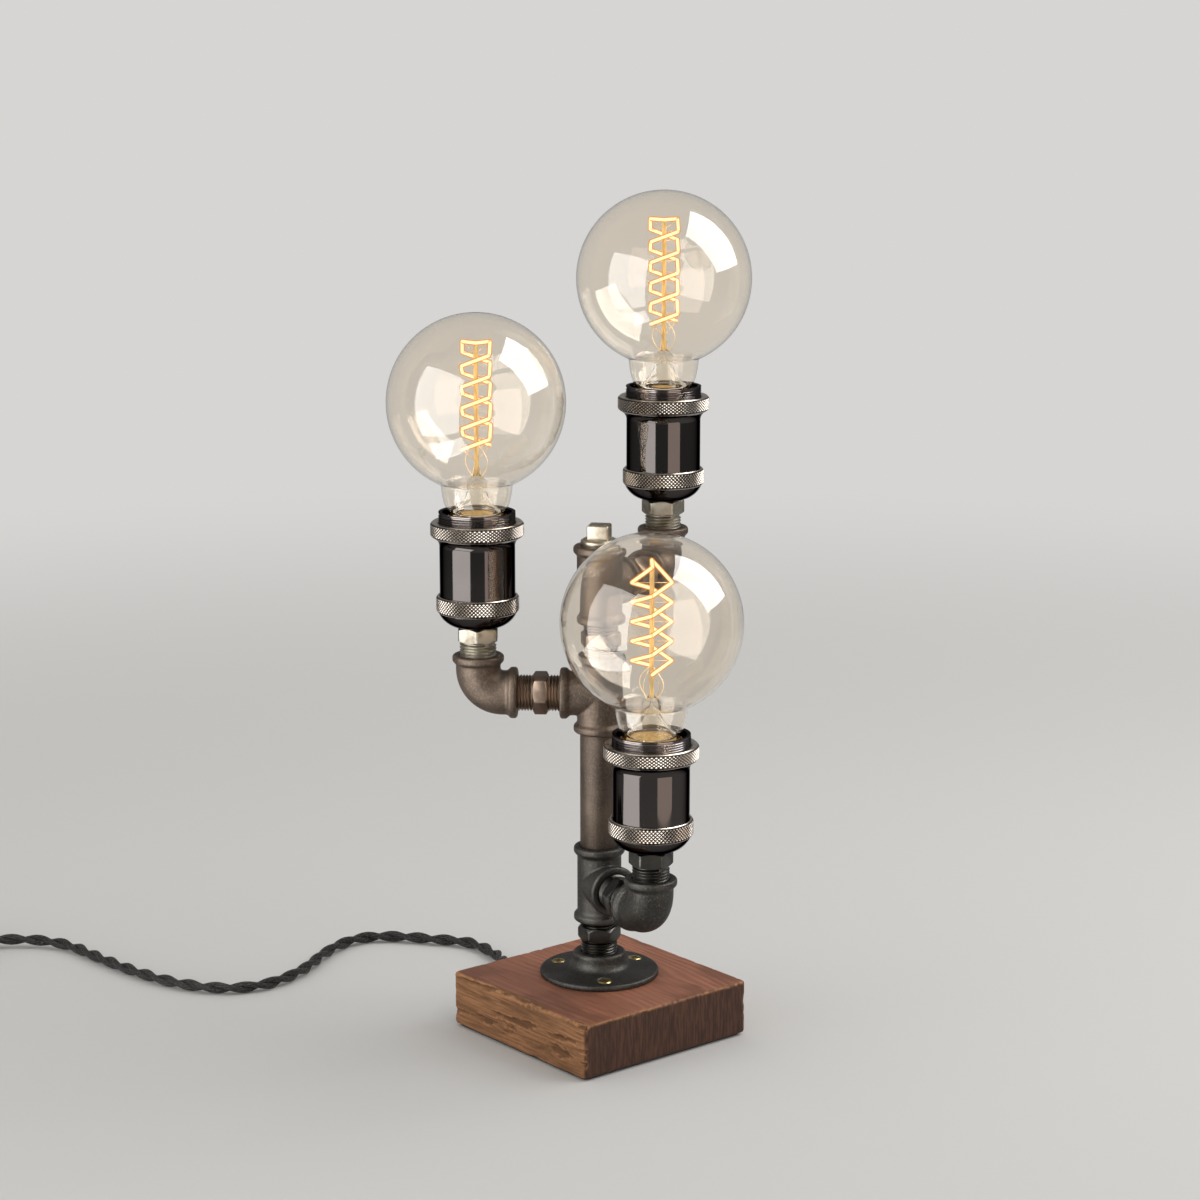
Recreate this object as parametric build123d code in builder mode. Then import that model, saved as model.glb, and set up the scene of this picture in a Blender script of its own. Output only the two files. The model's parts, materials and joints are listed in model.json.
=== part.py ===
from build123d import *

import os
from math import cos, radians, sin, sqrt, tan

# Table lamp of threaded pipe fittings: a square wooden base, a column of three tees and
# three short arms, each ending in an elbow, a bulb holder and a globe bulb.
# Millimetres, +Z up. The origin lies on the column's axis, on the surface the lamp stands on.
# X and Y run along the edges of the base. Azimuths are degrees from +X, anticlockwise from above.

# Driving dimensions: wooden base
BASE_SIDE = 96.0
BASE_THICKNESS = 24.8
BASE_CENTRE = (-3.0, -3.5)  # the column stands a little behind the middle of the base
BASE_CORNER_RADIUS = 2.5
BASE_EDGE_RADIUS = 1.2
FELT_THICKNESS = 1.0
FELT_INSET = 2.0
RECESS_SIZE = (44.0, 42.0)
RECESS_CENTRE = (-3.0, 6.0)
RECESS_CORNER_RADIUS = 5.0
RECESS_DEPTH = 14.0
WIRE_HOLE_RADIUS = 7.0  # up through the base, under the flange
BASE_TOP = FELT_THICKNESS + BASE_THICKNESS
BASE_REAR = BASE_CENTRE[1] + BASE_SIDE / 2

# Driving dimensions: strain relief in the base's rear face, and terminal block in the recess
CORD_EXIT_HEIGHT = 10.5
RELIEF_X = BASE_CENTRE[0]
RELIEF_RADIUS = 4.6
RELIEF_COLLAR_RADIUS = 6.2
RELIEF_TIP_RADIUS = 3.7
RELIEF_OUT = 16.0  # how far it stands out of the base
RELIEF_IN = 10.0
TERMINAL_SPOT = (-3.0, 19.0)
TERMINAL_SIZE = (24.0, 12.0, 10.0)
TERMINAL_WELL_RADIUS = 1.7

# Driving dimensions: pipe fittings, 3/8 inch thread
THREAD_RADIUS = 8.33
SOCKET_RADIUS = 8.38  # mean radius of the inside thread
SOCKET_DEPTH = 8.5
PIPE_RADIUS = 8.75
WATERWAY_RADIUS = 6.4
BAND_RADIUS = 11.7
BAND_HEIGHT = 3.8
FITTING_RADIUS = 10.1
FITTING_REACH = 17.8  # centre of a tee or elbow to the face of its band
ELBOW_BEND_RADIUS = 11.0
HEX_ACROSS_FLATS = 17.5
HEX_HEIGHT = 6.9
ARM_LENGTH = 54.8  # column axis to holder axis
SCREWED_IN = 8.0  # length of a nipple's thread inside a fitting

# Driving dimensions: floor flange and its screws
FLANGE_RADIUS = 27.35
FLANGE_RIM = 2.7
FLANGE_HEIGHT = 11.2
FLANGE_BOSS_RADIUS = 12.1
SCREW_CIRCLE_RADIUS = 20.5
SCREW_AZIMUTHS = (-2.7, 117.3, 237.3)
SCREW_RADIUS = 1.6
SCREW_HEAD_RADIUS = 3.3
SCREW_LENGTH = 9.6
SCREW_SLOT = (4.4, 0.8)
SCREW_SINK_TOP = FLANGE_RIM + 0.1
SCREW_SINK_FOOT = SCREW_SINK_TOP - (SCREW_HEAD_RADIUS - SCREW_RADIUS)

# Driving dimensions: square-headed plug in the top tee
PLUG_HEAD = 9.8
PLUG_HEAD_HEIGHT = 9.4
PLUG_HEAD_TURN = 39.5
PLUG_COLLAR_RADIUS = 8.4

# Driving dimensions: bulb holder, heights above the band of the elbow below it
BUSHING_HEX_BOTTOM = 6.0
CAP_BOTTOM = 12.9
CAP_RIM_BOTTOM = 19.8
CAP_RIM_TOP = 27.4
CAP_RIM_RADIUS = 18.74
CAP_SHOULDER = 21.0
CORE_SEAT = 19.5
SHELL_RADIUS = 17.0
SHELL_WALL = 1.1
FLARE_BOTTOM = 49.5
FLARE_TOP = 54.2
FLARE_RADIUS = 19.4
COLLAR_RADIUS = 17.35
COLLAR_BORE_RADIUS = 15.6
COLLAR_TOP = 65.6
SHADE_RING_RADIUS = 21.1
SHADE_RING_HEIGHT = 6.7
SHADE_RING_FIT = 0.08  # radial running clearance on the collar
CORE_RADIUS = 15.4
CORE_BORE_RADIUS = 14.0
CORE_TOP = 56.5
CORE_FLOOR = 32.5
SLEEVE_WALL = 0.45
STUD_RADIUS = 5.0
STUD_BORE_RADIUS = 3.6

# Driving dimensions: globe bulb with a medium screw cap, heights as for the holder
BULB_RADIUS = 40.0
BULB_CENTRE = 114.5
BULB_TIP = 36.5
GLASS_WALL = 0.8
NECK_TOP_RADIUS = 15.9
NECK_FOOT_RADIUS = 12.9
NECK_FOOT = 60.0
SCREW_CAP_RADIUS = 13.1
SCREW_CAP_CORE_RADIUS = 12.2
SCREW_CAP_PITCH = 3.629
SCREW_CAP_TOP = 63.4
SCREW_CAP_WALL = 0.4

# Driving dimensions: filament cage on the bulb's stem
CAGE_TOP = 141.0
CAGE_RADIUS = 8.8
CAGE_STEPS = 9  # even steps of a quarter turn below the last one, which ends at the top
FILAMENT_RADIUS = 0.45
SUPPORT_RADIUS = 0.3
SUPPORT_GAP = 0.3  # between a support's end and the bend that it holds
HORN_SUPPORT_DROP = 4.6
HORN_SUPPORT_GAP = 0.8
STEM_ROD_RADIUS = 1.3
STEM_ROD_TOP = CAGE_TOP - FILAMENT_RADIUS - 0.05
STEM_FLARE_RADIUS = 11.2
STEM_PRESS_TOP = 84.0

# Driving dimensions: mains lead of two twisted strands, its coil, switch and plug
CORD_DIAMETER = 5.6
CORD_RADIUS = CORD_DIAMETER / 2
FLOOR = CORD_RADIUS  # height of the lead's axis where it lies on the table
LEAD_RADIUS = 1.4  # of the sleeved leads inside the column
LEAD_OFFSET = 3.2
COIL_CENTRE = (-254.2, 268.0)
COIL_OUTER_RADIUS = 42.8  # four turns side by side on the floor
COIL_UPPER_RADIUS = 37.2  # three turns on top of them
COIL_INNER_RADIUS = 20.4
COIL_ENTRY_AZIMUTH = 140.5
COIL_EXIT_AZIMUTH = 185.5
SWITCH_CENTRE = (-192.1, 294.6)
SWITCH_AZIMUTH = 151.0
SWITCH_LENGTH = 54.0
SWITCH_WIDTH = 27.0
SWITCH_END_WIDTH = 13.0
SWITCH_HEIGHT = 17.0
ROCKER_LENGTH = 16.0
ROCKER_WIDTH = 11.0
ROCKER_TILT = 9.0
ROCKER_PIN_RADIUS = 1.2
PLUG_START = (-282.0, 226.0)
PLUG_AZIMUTH = -76.0
PLUG_LENGTH = 35.0
PLUG_NECK = 9.0
PLUG_WIDTH = 26.0
PLUG_THICKNESS = 13.6
PIN_RADIUS = 2.0
PIN_LENGTH = 19.0
PIN_SPACING = 18.6

# Corners of the lead's route: from the terminal block to the switch, on to the coil, and from
# the coil to the plug
LAMP_ROUTE = [
    (-3.0, 25.0, CORD_EXIT_HEIGHT),
    (-3.0, 71.0, CORD_EXIT_HEIGHT),
    (12.5, 88.0, 4.8),
    (20.5, 104.5, FLOOR),
    (22.5, 127.0, FLOOR),
    (11.0, 142.0, FLOOR),
    (-3.0, 161.0, FLOOR),
    (-19.0, 169.5, FLOOR),
    (-42.0, 162.0, FLOOR),
    (-66.0, 145.0, FLOOR),
    (-92.0, 138.0, FLOOR),
    (-112.0, 147.0, FLOOR),
    (-125.0, 169.0, FLOOR),
    (-131.0, 196.0, FLOOR),
    (-134.0, 226.0, FLOOR),
    (-135.0, 253.0, FLOOR),
    (-149.2, 271.6, 4.0),
]
COIL_ROUTE = [
    (-233.5, 317.0, 4.0),
    (-254.0, 322.0, FLOOR),
    (-273.6, 307.3, FLOOR),
]
PLUG_ROUTE = [
    (-287.1, 251.1, CORD_RADIUS + CORD_DIAMETER),
]

# Azimuth of the arm and height of the tee's centre, from the bottom up, and the turn of
# the hexagon under the holder
LEVELS = {
    "lower": (-105.0, 69.5, 20.5),
    "middle": (138.0, 158.5, -9.5),
    "upper": (18.0, 209.1, 14.9),
}

# The filaments are wound by hand, no two quite alike: azimuth of the first strand's foot, height
# of the feet, height of the last even step, and the quarter turns from the first foot to the
# second strand's upper end
CAGES = {
    "lower": (230.5, 93.8, 132.7, 12),
    "middle": (185.5, 94.3, 136.2, 11),
    "upper": (185.5, 94.3, 136.2, 11),
}

UP = (0.0, 0.0, 1.0)
DOWN = (0.0, 0.0, -1.0)
REARWARD = (0.0, 1.0, 0.0)
BAND_CHAMFER = 0.8
CLEARANCE = 0.05


def outward(azimuth, reach=1.0, height=0.0):
    """The point at that reach from the column's axis, in that direction."""
    return (reach * cos(radians(azimuth)), reach * sin(radians(azimuth)), height)


def along(spot, direction, distance):
    """The point at that distance from spot along a unit direction."""
    return tuple(s + d * distance for s, d in zip(spot, direction))


def facing(spot, axis):
    """The plane through spot whose Y runs along the axis and whose X runs across it."""
    side = (1.0, 0.0, 0.0) if abs(axis[2]) > 0.9 else UP
    return Plane(origin=spot, x_dir=side, z_dir=Vector(*side).cross(Vector(*axis)))


def across(spot, axis, side=None):
    """The plane through spot at right angles to the axis."""
    return Plane(origin=spot, x_dir=side, z_dir=axis)


def turn(points, spot, axis=UP, mode=Mode.ADD):
    """Adds a solid of revolution; points are (radius, distance along the axis)."""
    with BuildSketch(facing(spot, axis)) as outline:
        with BuildLine():
            Polyline(*points, close=True)
        make_face()
    revolve(outline.sketch, axis=Axis(spot, axis), mode=mode)


def rod(radius, start, axis, length, mode=Mode.ADD):
    """Adds a round bar, or takes a hole away."""
    with BuildSketch(across(start, axis)) as section:
        Circle(radius)
    extrude(section.sketch, amount=length, mode=mode)


def finish(name, part):
    """Labels a finished piece and writes it."""
    part.label = name
    export_step(part, f"parts/{name}.step")


def fitting_leg(spot, axis):
    """Adds one leg of a tee or elbow with the band round its mouth."""
    band_foot = FITTING_REACH - BAND_HEIGHT
    turn(
        [
            (0, 0),
            (FITTING_RADIUS, 0),
            (FITTING_RADIUS, band_foot - BAND_CHAMFER),
            (BAND_RADIUS, band_foot + BAND_CHAMFER),
            (BAND_RADIUS, FITTING_REACH - BAND_CHAMFER),
            (BAND_RADIUS - BAND_CHAMFER, FITTING_REACH),
            (0, FITTING_REACH),
        ],
        spot,
        axis,
    )


def thread_socket(spot, axis):
    """Cuts the inside thread of a fitting's mouth at its mean radius."""
    mouth = along(spot, axis, FITTING_REACH - SOCKET_DEPTH)
    rod(SOCKET_RADIUS, mouth, axis, SOCKET_DEPTH + 1, mode=Mode.SUBTRACT)


def tee(name, height, azimuth):
    """A malleable tee whose run is the column and whose branch points along the azimuth."""
    spot = (0.0, 0.0, height)
    branch = outward(azimuth)
    with BuildPart() as part:
        for direction in (UP, DOWN, branch):
            fitting_leg(spot, direction)
        for direction in (UP, DOWN, branch):
            rod(WATERWAY_RADIUS, spot, direction, FITTING_REACH + 1, Mode.SUBTRACT)
            thread_socket(spot, direction)
    finish(name, part.part)


def elbow_path(centre, inlet):
    """The centreline of an elbow from its inlet face round to its upper face."""
    with BuildLine() as path:
        FilletPolyline(
            along(centre, inlet, FITTING_REACH),
            centre,
            along(centre, UP, FITTING_REACH),
            radius=ELBOW_BEND_RADIUS,
        )
    return path.line


def elbow(name, height, azimuth):
    """A ninety degree elbow that turns the arm up into the holder."""
    centre = outward(azimuth, ARM_LENGTH, height)
    inlet = outward(azimuth + 180)
    path = elbow_path(centre, inlet)
    with BuildPart() as part:
        with BuildSketch(across(along(centre, inlet, FITTING_REACH), outward(azimuth))) as section:
            Circle(FITTING_RADIUS)
        sweep(section.sketch, path=path)
        band_foot = FITTING_REACH - BAND_HEIGHT
        for direction in (inlet, UP):
            turn(
                [
                    (0, band_foot - BAND_CHAMFER),
                    (FITTING_RADIUS, band_foot - BAND_CHAMFER),
                    (BAND_RADIUS, band_foot + BAND_CHAMFER),
                    (BAND_RADIUS, FITTING_REACH - BAND_CHAMFER),
                    (BAND_RADIUS - BAND_CHAMFER, FITTING_REACH),
                    (0, FITTING_REACH),
                ],
                centre,
                direction,
            )
        with BuildSketch(across(along(centre, inlet, FITTING_REACH), outward(azimuth))) as bore:
            Circle(WATERWAY_RADIUS)
        sweep(bore.sketch, path=path, mode=Mode.SUBTRACT)
        for direction in (inlet, UP):
            thread_socket(centre, direction)
    finish(name, part.part)


def hexagon(spot, axis, height, turned, side=None, corner=0.9):
    """Adds a hexagonal nut form with its corners turned down at both ends."""
    corner_radius = HEX_ACROSS_FLATS / sqrt(3)
    flat_radius = HEX_ACROSS_FLATS / 2
    with BuildPart() as nut:
        with BuildSketch(across(spot, axis, side)) as outline:
            RegularPolygon(corner_radius, 6, rotation=turned)
        extrude(outline.sketch, amount=height)
        turn(
            [
                (0, 0),
                (flat_radius - 0.2, 0),
                (corner_radius - 0.25, corner),
                (corner_radius - 0.25, height - corner),
                (flat_radius - 0.2, height),
                (0, height),
            ],
            spot,
            axis,
            mode=Mode.INTERSECT,
        )
    return nut.part


def nipple(name, start, axis, gap, thread_before, turned, side=None):
    """A hexagon nipple that fills the gap between two faces and screws into both."""
    end = along(start, axis, -SCREWED_IN)
    length = gap + 2 * SCREWED_IN
    with BuildPart() as part:
        rod(THREAD_RADIUS, end, axis, length)
        add(hexagon(along(start, axis, thread_before), axis, HEX_HEIGHT, turned, side))
        rod(WATERWAY_RADIUS, end, axis, length, Mode.SUBTRACT)
    finish(name, part.part)


# ---------------------------------------------------------------------------- wooden base


def base_outline(inset, height):
    """A rounded square of the base's size less the inset, lying at that height."""
    side = BASE_SIDE - 2 * inset
    with BuildSketch(Plane((*BASE_CENTRE, height))) as outline:
        RectangleRounded(side, side, BASE_CORNER_RADIUS)
    return outline.sketch


def base():
    """The wooden block, hollowed from below for the wiring and drilled for it."""
    with BuildPart() as part:
        extrude(base_outline(0, FELT_THICKNESS), amount=BASE_THICKNESS)
        fillet(part.faces().sort_by(Axis.Z)[-1].edges(), BASE_EDGE_RADIUS)
        chamfer(part.faces().sort_by(Axis.Z)[0].edges(), 0.6)
        with BuildSketch(Plane((*RECESS_CENTRE, FELT_THICKNESS))) as recess:
            RectangleRounded(*RECESS_SIZE, RECESS_CORNER_RADIUS)
        extrude(recess.sketch, amount=RECESS_DEPTH, mode=Mode.SUBTRACT)
        rod(WIRE_HOLE_RADIUS, (0, 0, FELT_THICKNESS), UP, BASE_THICKNESS + 1, Mode.SUBTRACT)
        for azimuth in SCREW_AZIMUTHS:
            pilot = outward(azimuth, SCREW_CIRCLE_RADIUS, BASE_TOP - SCREW_LENGTH)
            rod(SCREW_RADIUS + CLEARANCE, pilot, UP, SCREW_LENGTH + 1, Mode.SUBTRACT)
        recess_rear = RECESS_CENTRE[1] + RECESS_SIZE[1] / 2
        hole = (RELIEF_X, recess_rear - 1, CORD_EXIT_HEIGHT)
        rod(RELIEF_RADIUS, hole, REARWARD, BASE_REAR - recess_rear + 2, Mode.SUBTRACT)
    finish("base_block", part.part)
    with BuildPart() as pad:
        extrude(base_outline(FELT_INSET, 0), amount=FELT_THICKNESS)
    finish("felt_pad", pad.part)


def strain_relief():
    """A tapered rubber sleeve with a collar, pushed into the hole in the base's rear face."""
    spot = (RELIEF_X, BASE_REAR, CORD_EXIT_HEIGHT)
    with BuildPart() as part:
        turn(
            [
                (0, -RELIEF_IN),
                (RELIEF_RADIUS, -RELIEF_IN),
                (RELIEF_RADIUS, 0),
                (RELIEF_COLLAR_RADIUS, 0),
                (RELIEF_COLLAR_RADIUS, 1.6),
                (RELIEF_COLLAR_RADIUS - 0.6, 2.2),
                (RELIEF_RADIUS + 0.3, 2.6),
                (RELIEF_TIP_RADIUS, RELIEF_OUT),
                (0, RELIEF_OUT),
            ],
            spot,
            REARWARD,
        )
        inner_end = along(spot, REARWARD, -RELIEF_IN)
        rod(CORD_RADIUS + CLEARANCE, inner_end, REARWARD, RELIEF_IN + RELIEF_OUT, Mode.SUBTRACT)
    finish("strain_relief", part.part)


def terminal_block():
    """A two-pole terminal block against the ceiling of the recess, with its screw wells below."""
    width, depth, height = TERMINAL_SIZE
    underside = Plane((*TERMINAL_SPOT, FELT_THICKNESS + RECESS_DEPTH - height))
    with BuildPart() as part:
        with BuildSketch(underside) as outline:
            Rectangle(width, depth)
        extrude(outline.sketch, amount=height)
        with BuildSketch(underside) as waist:
            for x in (-1, 0, 1):
                with Locations((x * width / 2, 0)):
                    Rectangle(2.0, depth / 2.6)
        extrude(waist.sketch, amount=height - 4, mode=Mode.SUBTRACT)
        with BuildSketch(underside) as wells:
            for x in (-width / 4, width / 4):
                with Locations((x, -depth / 4), (x, depth / 4)):
                    Circle(TERMINAL_WELL_RADIUS)
        extrude(wells.sketch, amount=4, mode=Mode.SUBTRACT)
    finish("terminal_block", part.part)


# ------------------------------------------------------------------- flange and fittings


def floor_flange():
    """The round flange with its boss and three countersunk screw holes."""
    spot = (0.0, 0.0, BASE_TOP)
    with BuildPart() as part:
        turn(
            [
                (0, 0),
                (FLANGE_RADIUS - 0.3, 0),
                (FLANGE_RADIUS, 0.3),
                (FLANGE_RADIUS, FLANGE_RIM - 0.6),
                (FLANGE_RADIUS - 0.6, FLANGE_RIM),
                (16.5, 3.6),
                (14.0, 4.2),
                (12.7, 5.4),
                (FLANGE_BOSS_RADIUS, 7.2),
                (FLANGE_BOSS_RADIUS, FLANGE_HEIGHT - 0.9),
                (FLANGE_BOSS_RADIUS - 0.9, FLANGE_HEIGHT),
                (0, FLANGE_HEIGHT),
            ],
            spot,
        )
        rod(WATERWAY_RADIUS, spot, UP, FLANGE_HEIGHT, Mode.SUBTRACT)
        socket = along(spot, UP, FLANGE_HEIGHT - SOCKET_DEPTH)
        rod(SOCKET_RADIUS, socket, UP, SOCKET_DEPTH, Mode.SUBTRACT)
        for azimuth in SCREW_AZIMUTHS:
            hole = outward(azimuth, SCREW_CIRCLE_RADIUS, BASE_TOP)
            turn(
                [
                    (0, -1),
                    (SCREW_RADIUS + CLEARANCE, -1),
                    (SCREW_RADIUS + CLEARANCE, SCREW_SINK_FOOT),
                    (SCREW_HEAD_RADIUS + CLEARANCE, SCREW_SINK_TOP),
                    (SCREW_HEAD_RADIUS + CLEARANCE, FLANGE_RIM + 3),
                    (0, FLANGE_RIM + 3),
                ],
                hole,
                mode=Mode.SUBTRACT,
            )
    finish("floor_flange", part.part)


def flange_screws():
    """Three countersunk wood screws with crossed slots."""
    with BuildPart() as part:
        for azimuth in SCREW_AZIMUTHS:
            foot = outward(azimuth, SCREW_CIRCLE_RADIUS, BASE_TOP)
            turn(
                [
                    (0, -SCREW_LENGTH + 0.5),
                    (SCREW_RADIUS, -SCREW_LENGTH + 3.5),
                    (SCREW_RADIUS, SCREW_SINK_FOOT + CLEARANCE),
                    (SCREW_HEAD_RADIUS, SCREW_SINK_TOP + CLEARANCE),
                    (SCREW_HEAD_RADIUS - 0.5, SCREW_SINK_TOP + 0.45),
                    (0, SCREW_SINK_TOP + 0.7),
                ],
                foot,
            )
            with BuildSketch(Plane(along(foot, UP, SCREW_SINK_TOP - 0.6))) as slots:
                Rectangle(*SCREW_SLOT, rotation=azimuth + 20)
                Rectangle(*SCREW_SLOT, rotation=azimuth + 110)
            extrude(slots.sketch, amount=3, mode=Mode.SUBTRACT)
    finish("flange_screws", part.part)


def riser_pipe():
    """The plain pipe between the lower and the middle tee, threaded into both."""
    start = LEVELS["lower"][1] + FITTING_REACH
    gap = LEVELS["middle"][1] - FITTING_REACH - start
    foot = (0, 0, start - SCREWED_IN)
    length = gap + 2 * SCREWED_IN
    with BuildPart() as part:
        rod(THREAD_RADIUS, foot, UP, length)
        rod(PIPE_RADIUS, (0, 0, start + CLEARANCE), UP, gap - 2 * CLEARANCE)
        rod(WATERWAY_RADIUS, foot, UP, length, Mode.SUBTRACT)
    finish("riser_pipe", part.part)


def top_plug():
    """The square-headed plug that closes the top tee."""
    face = LEVELS["upper"][1] + FITTING_REACH
    with BuildPart() as part:
        turn(
            [
                (0, -SCREWED_IN),
                (THREAD_RADIUS, -SCREWED_IN),
                (THREAD_RADIUS - 0.1, 1.0),
                (PLUG_COLLAR_RADIUS, 1.1),
                (PLUG_COLLAR_RADIUS, 2.2),
                (PLUG_COLLAR_RADIUS - 1.2, 2.9),
                (0, 2.9),
            ],
            (0, 0, face),
        )
        with BuildSketch(Plane((0, 0, face + 2.5))) as foot:
            RectangleRounded(PLUG_HEAD - 0.6, PLUG_HEAD - 0.6, 0.8, rotation=PLUG_HEAD_TURN)
        with BuildSketch(Plane((0, 0, face + PLUG_HEAD_HEIGHT))) as crown:
            RectangleRounded(PLUG_HEAD, PLUG_HEAD, 0.8, rotation=PLUG_HEAD_TURN)
        loft(sections=[foot.sketch, crown.sketch])
        chamfer(part.faces().sort_by(Axis.Z)[-1].edges(), 0.5)
    finish("top_plug", part.part)


# -------------------------------------------------------------------------- bulb holders


def holder_bushing(level, spot, turned):
    """The hexagon bushing that screws into the elbow and carries the holder's stud."""
    with BuildPart() as part:
        rod(THREAD_RADIUS, along(spot, UP, -SCREWED_IN), UP, SCREWED_IN + BUSHING_HEX_BOTTOM + 1)
        add(hexagon(along(spot, UP, BUSHING_HEX_BOTTOM), UP, HEX_HEIGHT, turned))
        rod(STUD_RADIUS + CLEARANCE, along(spot, UP, -SCREWED_IN - 1), UP, 40, Mode.SUBTRACT)
    finish(f"{level}_holder_bushing", part.part)


def holder_cap(level, spot):
    """The cup that screws onto the stud, with the knurled rim that takes the shell."""
    with BuildPart() as part:
        with BuildSketch(facing(spot, UP)) as outline:
            with BuildLine():
                bottom = Line((STUD_RADIUS + CLEARANCE, CAP_BOTTOM), (9.2, CAP_BOTTOM))
                bowl = ThreePointArc(bottom @ 1, (14.6, 15.4), (17.7, CAP_RIM_BOTTOM - 0.2))
                Polyline(
                    bowl @ 1,
                    (CAP_RIM_RADIUS - 0.3, CAP_RIM_BOTTOM),
                    (CAP_RIM_RADIUS, CAP_RIM_BOTTOM + 0.3),
                    (CAP_RIM_RADIUS, CAP_RIM_TOP - 0.3),
                    (CAP_RIM_RADIUS - 0.3, CAP_RIM_TOP),
                    (SHELL_RADIUS + CLEARANCE, CAP_RIM_TOP),
                    (SHELL_RADIUS + CLEARANCE, CAP_SHOULDER),
                    (CORE_RADIUS + 0.1, CAP_SHOULDER),
                    (CORE_RADIUS + 0.1, CORE_SEAT),
                    (13.6, CORE_SEAT),
                    (13.2, 16.6),
                    (9.0, 14.4),
                    (STUD_RADIUS + CLEARANCE, 14.4),
                    bottom @ 0,
                )
            make_face()
        revolve(outline.sketch, axis=Axis(spot, UP))
    finish(f"{level}_holder_cap", part.part)


def holder_shell(level, spot):
    """The smooth shell, flared to a shoulder under the collar that carries the shade ring."""
    inner = SHELL_RADIUS - SHELL_WALL
    with BuildPart() as part:
        with BuildSketch(facing(spot, UP)) as outline:
            with BuildLine():
                side = Line((SHELL_RADIUS, CAP_SHOULDER), (SHELL_RADIUS, FLARE_BOTTOM))
                flare = ThreePointArc(side @ 1, (17.7, 52.2), (FLARE_RADIUS, FLARE_TOP - 0.4))
                Polyline(
                    flare @ 1,
                    (FLARE_RADIUS, FLARE_TOP),
                    (COLLAR_RADIUS, FLARE_TOP),
                    (COLLAR_RADIUS, COLLAR_TOP - 0.5),
                    (COLLAR_RADIUS - 0.5, COLLAR_TOP),
                    (COLLAR_BORE_RADIUS + 0.3, COLLAR_TOP),
                    (COLLAR_BORE_RADIUS, COLLAR_TOP - 0.3),
                    (COLLAR_BORE_RADIUS, CORE_TOP + 0.6),
                    (inner, CORE_TOP),
                    (inner, CAP_SHOULDER),
                    side @ 0,
                )
            make_face()
        revolve(outline.sketch, axis=Axis(spot, UP))
    finish(f"{level}_holder_shell", part.part)


def shade_ring(level, spot):
    """The loose ring that clamps a shade on the collar."""
    inner = COLLAR_RADIUS + SHADE_RING_FIT
    top = FLARE_TOP + SHADE_RING_HEIGHT
    with BuildPart() as part:
        turn(
            [
                (inner, FLARE_TOP),
                (SHADE_RING_RADIUS - 0.4, FLARE_TOP),
                (SHADE_RING_RADIUS, FLARE_TOP + 0.4),
                (SHADE_RING_RADIUS, top - 0.4),
                (SHADE_RING_RADIUS - 0.4, top),
                (inner + 0.5, top),
                (inner, top - 0.5),
            ],
            spot,
        )
    finish(f"{level}_shade_ring", part.part)


def holder_core(level, spot):
    """The porcelain core: a deep cup with wire holes through its floor."""
    with BuildPart() as part:
        turn(
            [
                (0, CORE_SEAT),
                (CORE_RADIUS, CORE_SEAT),
                (CORE_RADIUS, CORE_TOP - 1.0),
                (CORE_RADIUS - 1.0, CORE_TOP),
                (CORE_BORE_RADIUS + 0.3, CORE_TOP),
                (CORE_BORE_RADIUS, CORE_TOP - 0.6),
                (CORE_BORE_RADIUS, CORE_FLOOR),
                (0, CORE_FLOOR),
            ],
            spot,
        )
        rod(4.0, along(spot, UP, CORE_SEAT - 1), UP, 6.0, Mode.SUBTRACT)
        for side in (-1, 1):
            wire_hole = (spot[0] + side * 9.5, spot[1], spot[2] + CORE_SEAT - 1)
            rod(1.8, wire_hole, UP, 8.0, Mode.SUBTRACT)
    finish(f"{level}_holder_core", part.part)


def holder_contacts(spots):
    """The brass thread sleeves and the centre spring tongues of the three holders."""
    outer = CORE_BORE_RADIUS - CLEARANCE
    sleeve_foot = CORE_FLOOR + 4.0
    with BuildPart() as sleeves:
        for spot in spots:
            turn(
                [
                    (outer - SLEEVE_WALL, sleeve_foot),
                    (outer, sleeve_foot),
                    (outer, CORE_TOP - 1.2),
                    (outer - SLEEVE_WALL, CORE_TOP - 1.2),
                ],
                spot,
            )
    finish("thread_sleeves", sleeves.part)
    with BuildPart() as tongues:
        for spot in spots:
            with BuildSketch(facing(spot, UP)) as bent_strip:
                with BuildLine():
                    lower = [(-9.0, CORE_FLOOR), (-4.0, CORE_FLOOR), (0.0, 35.9), (4.0, 35.9)]
                    upper = [(4.0, BULB_TIP), (-0.4, BULB_TIP), (-4.4, 33.1), (-9.0, 33.1)]
                    Polyline(*lower, *upper, close=True)
                make_face()
            extrude(bent_strip.sketch, amount=3.0, both=True)
    finish("centre_contacts", tongues.part)


def holder_studs(spots):
    """The threaded tubes that join the bushings to the caps."""
    with BuildPart() as part:
        for spot in spots:
            rod(STUD_RADIUS, along(spot, UP, 3.0), UP, 14.2)
            rod(STUD_BORE_RADIUS, along(spot, UP, 2.0), UP, 17.0, Mode.SUBTRACT)
    finish("holder_studs", part.part)


# --------------------------------------------------------------------------------- bulbs


def screw_cap_profile():
    """Outer profile of the rolled screw cap, from its insulator up to the rim on the glass."""
    points = [(10.2, 41.4), (SCREW_CAP_CORE_RADIUS, 42.6)]
    for ridge in range(4):
        crest = 44.4 + ridge * SCREW_CAP_PITCH
        points += [
            (SCREW_CAP_RADIUS, crest - 0.5),
            (SCREW_CAP_RADIUS, crest + 0.5),
            (SCREW_CAP_CORE_RADIUS, crest + SCREW_CAP_PITCH / 2),
        ]
    points += [(13.3, 59.3), (13.5, SCREW_CAP_TOP)]
    return points


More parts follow.
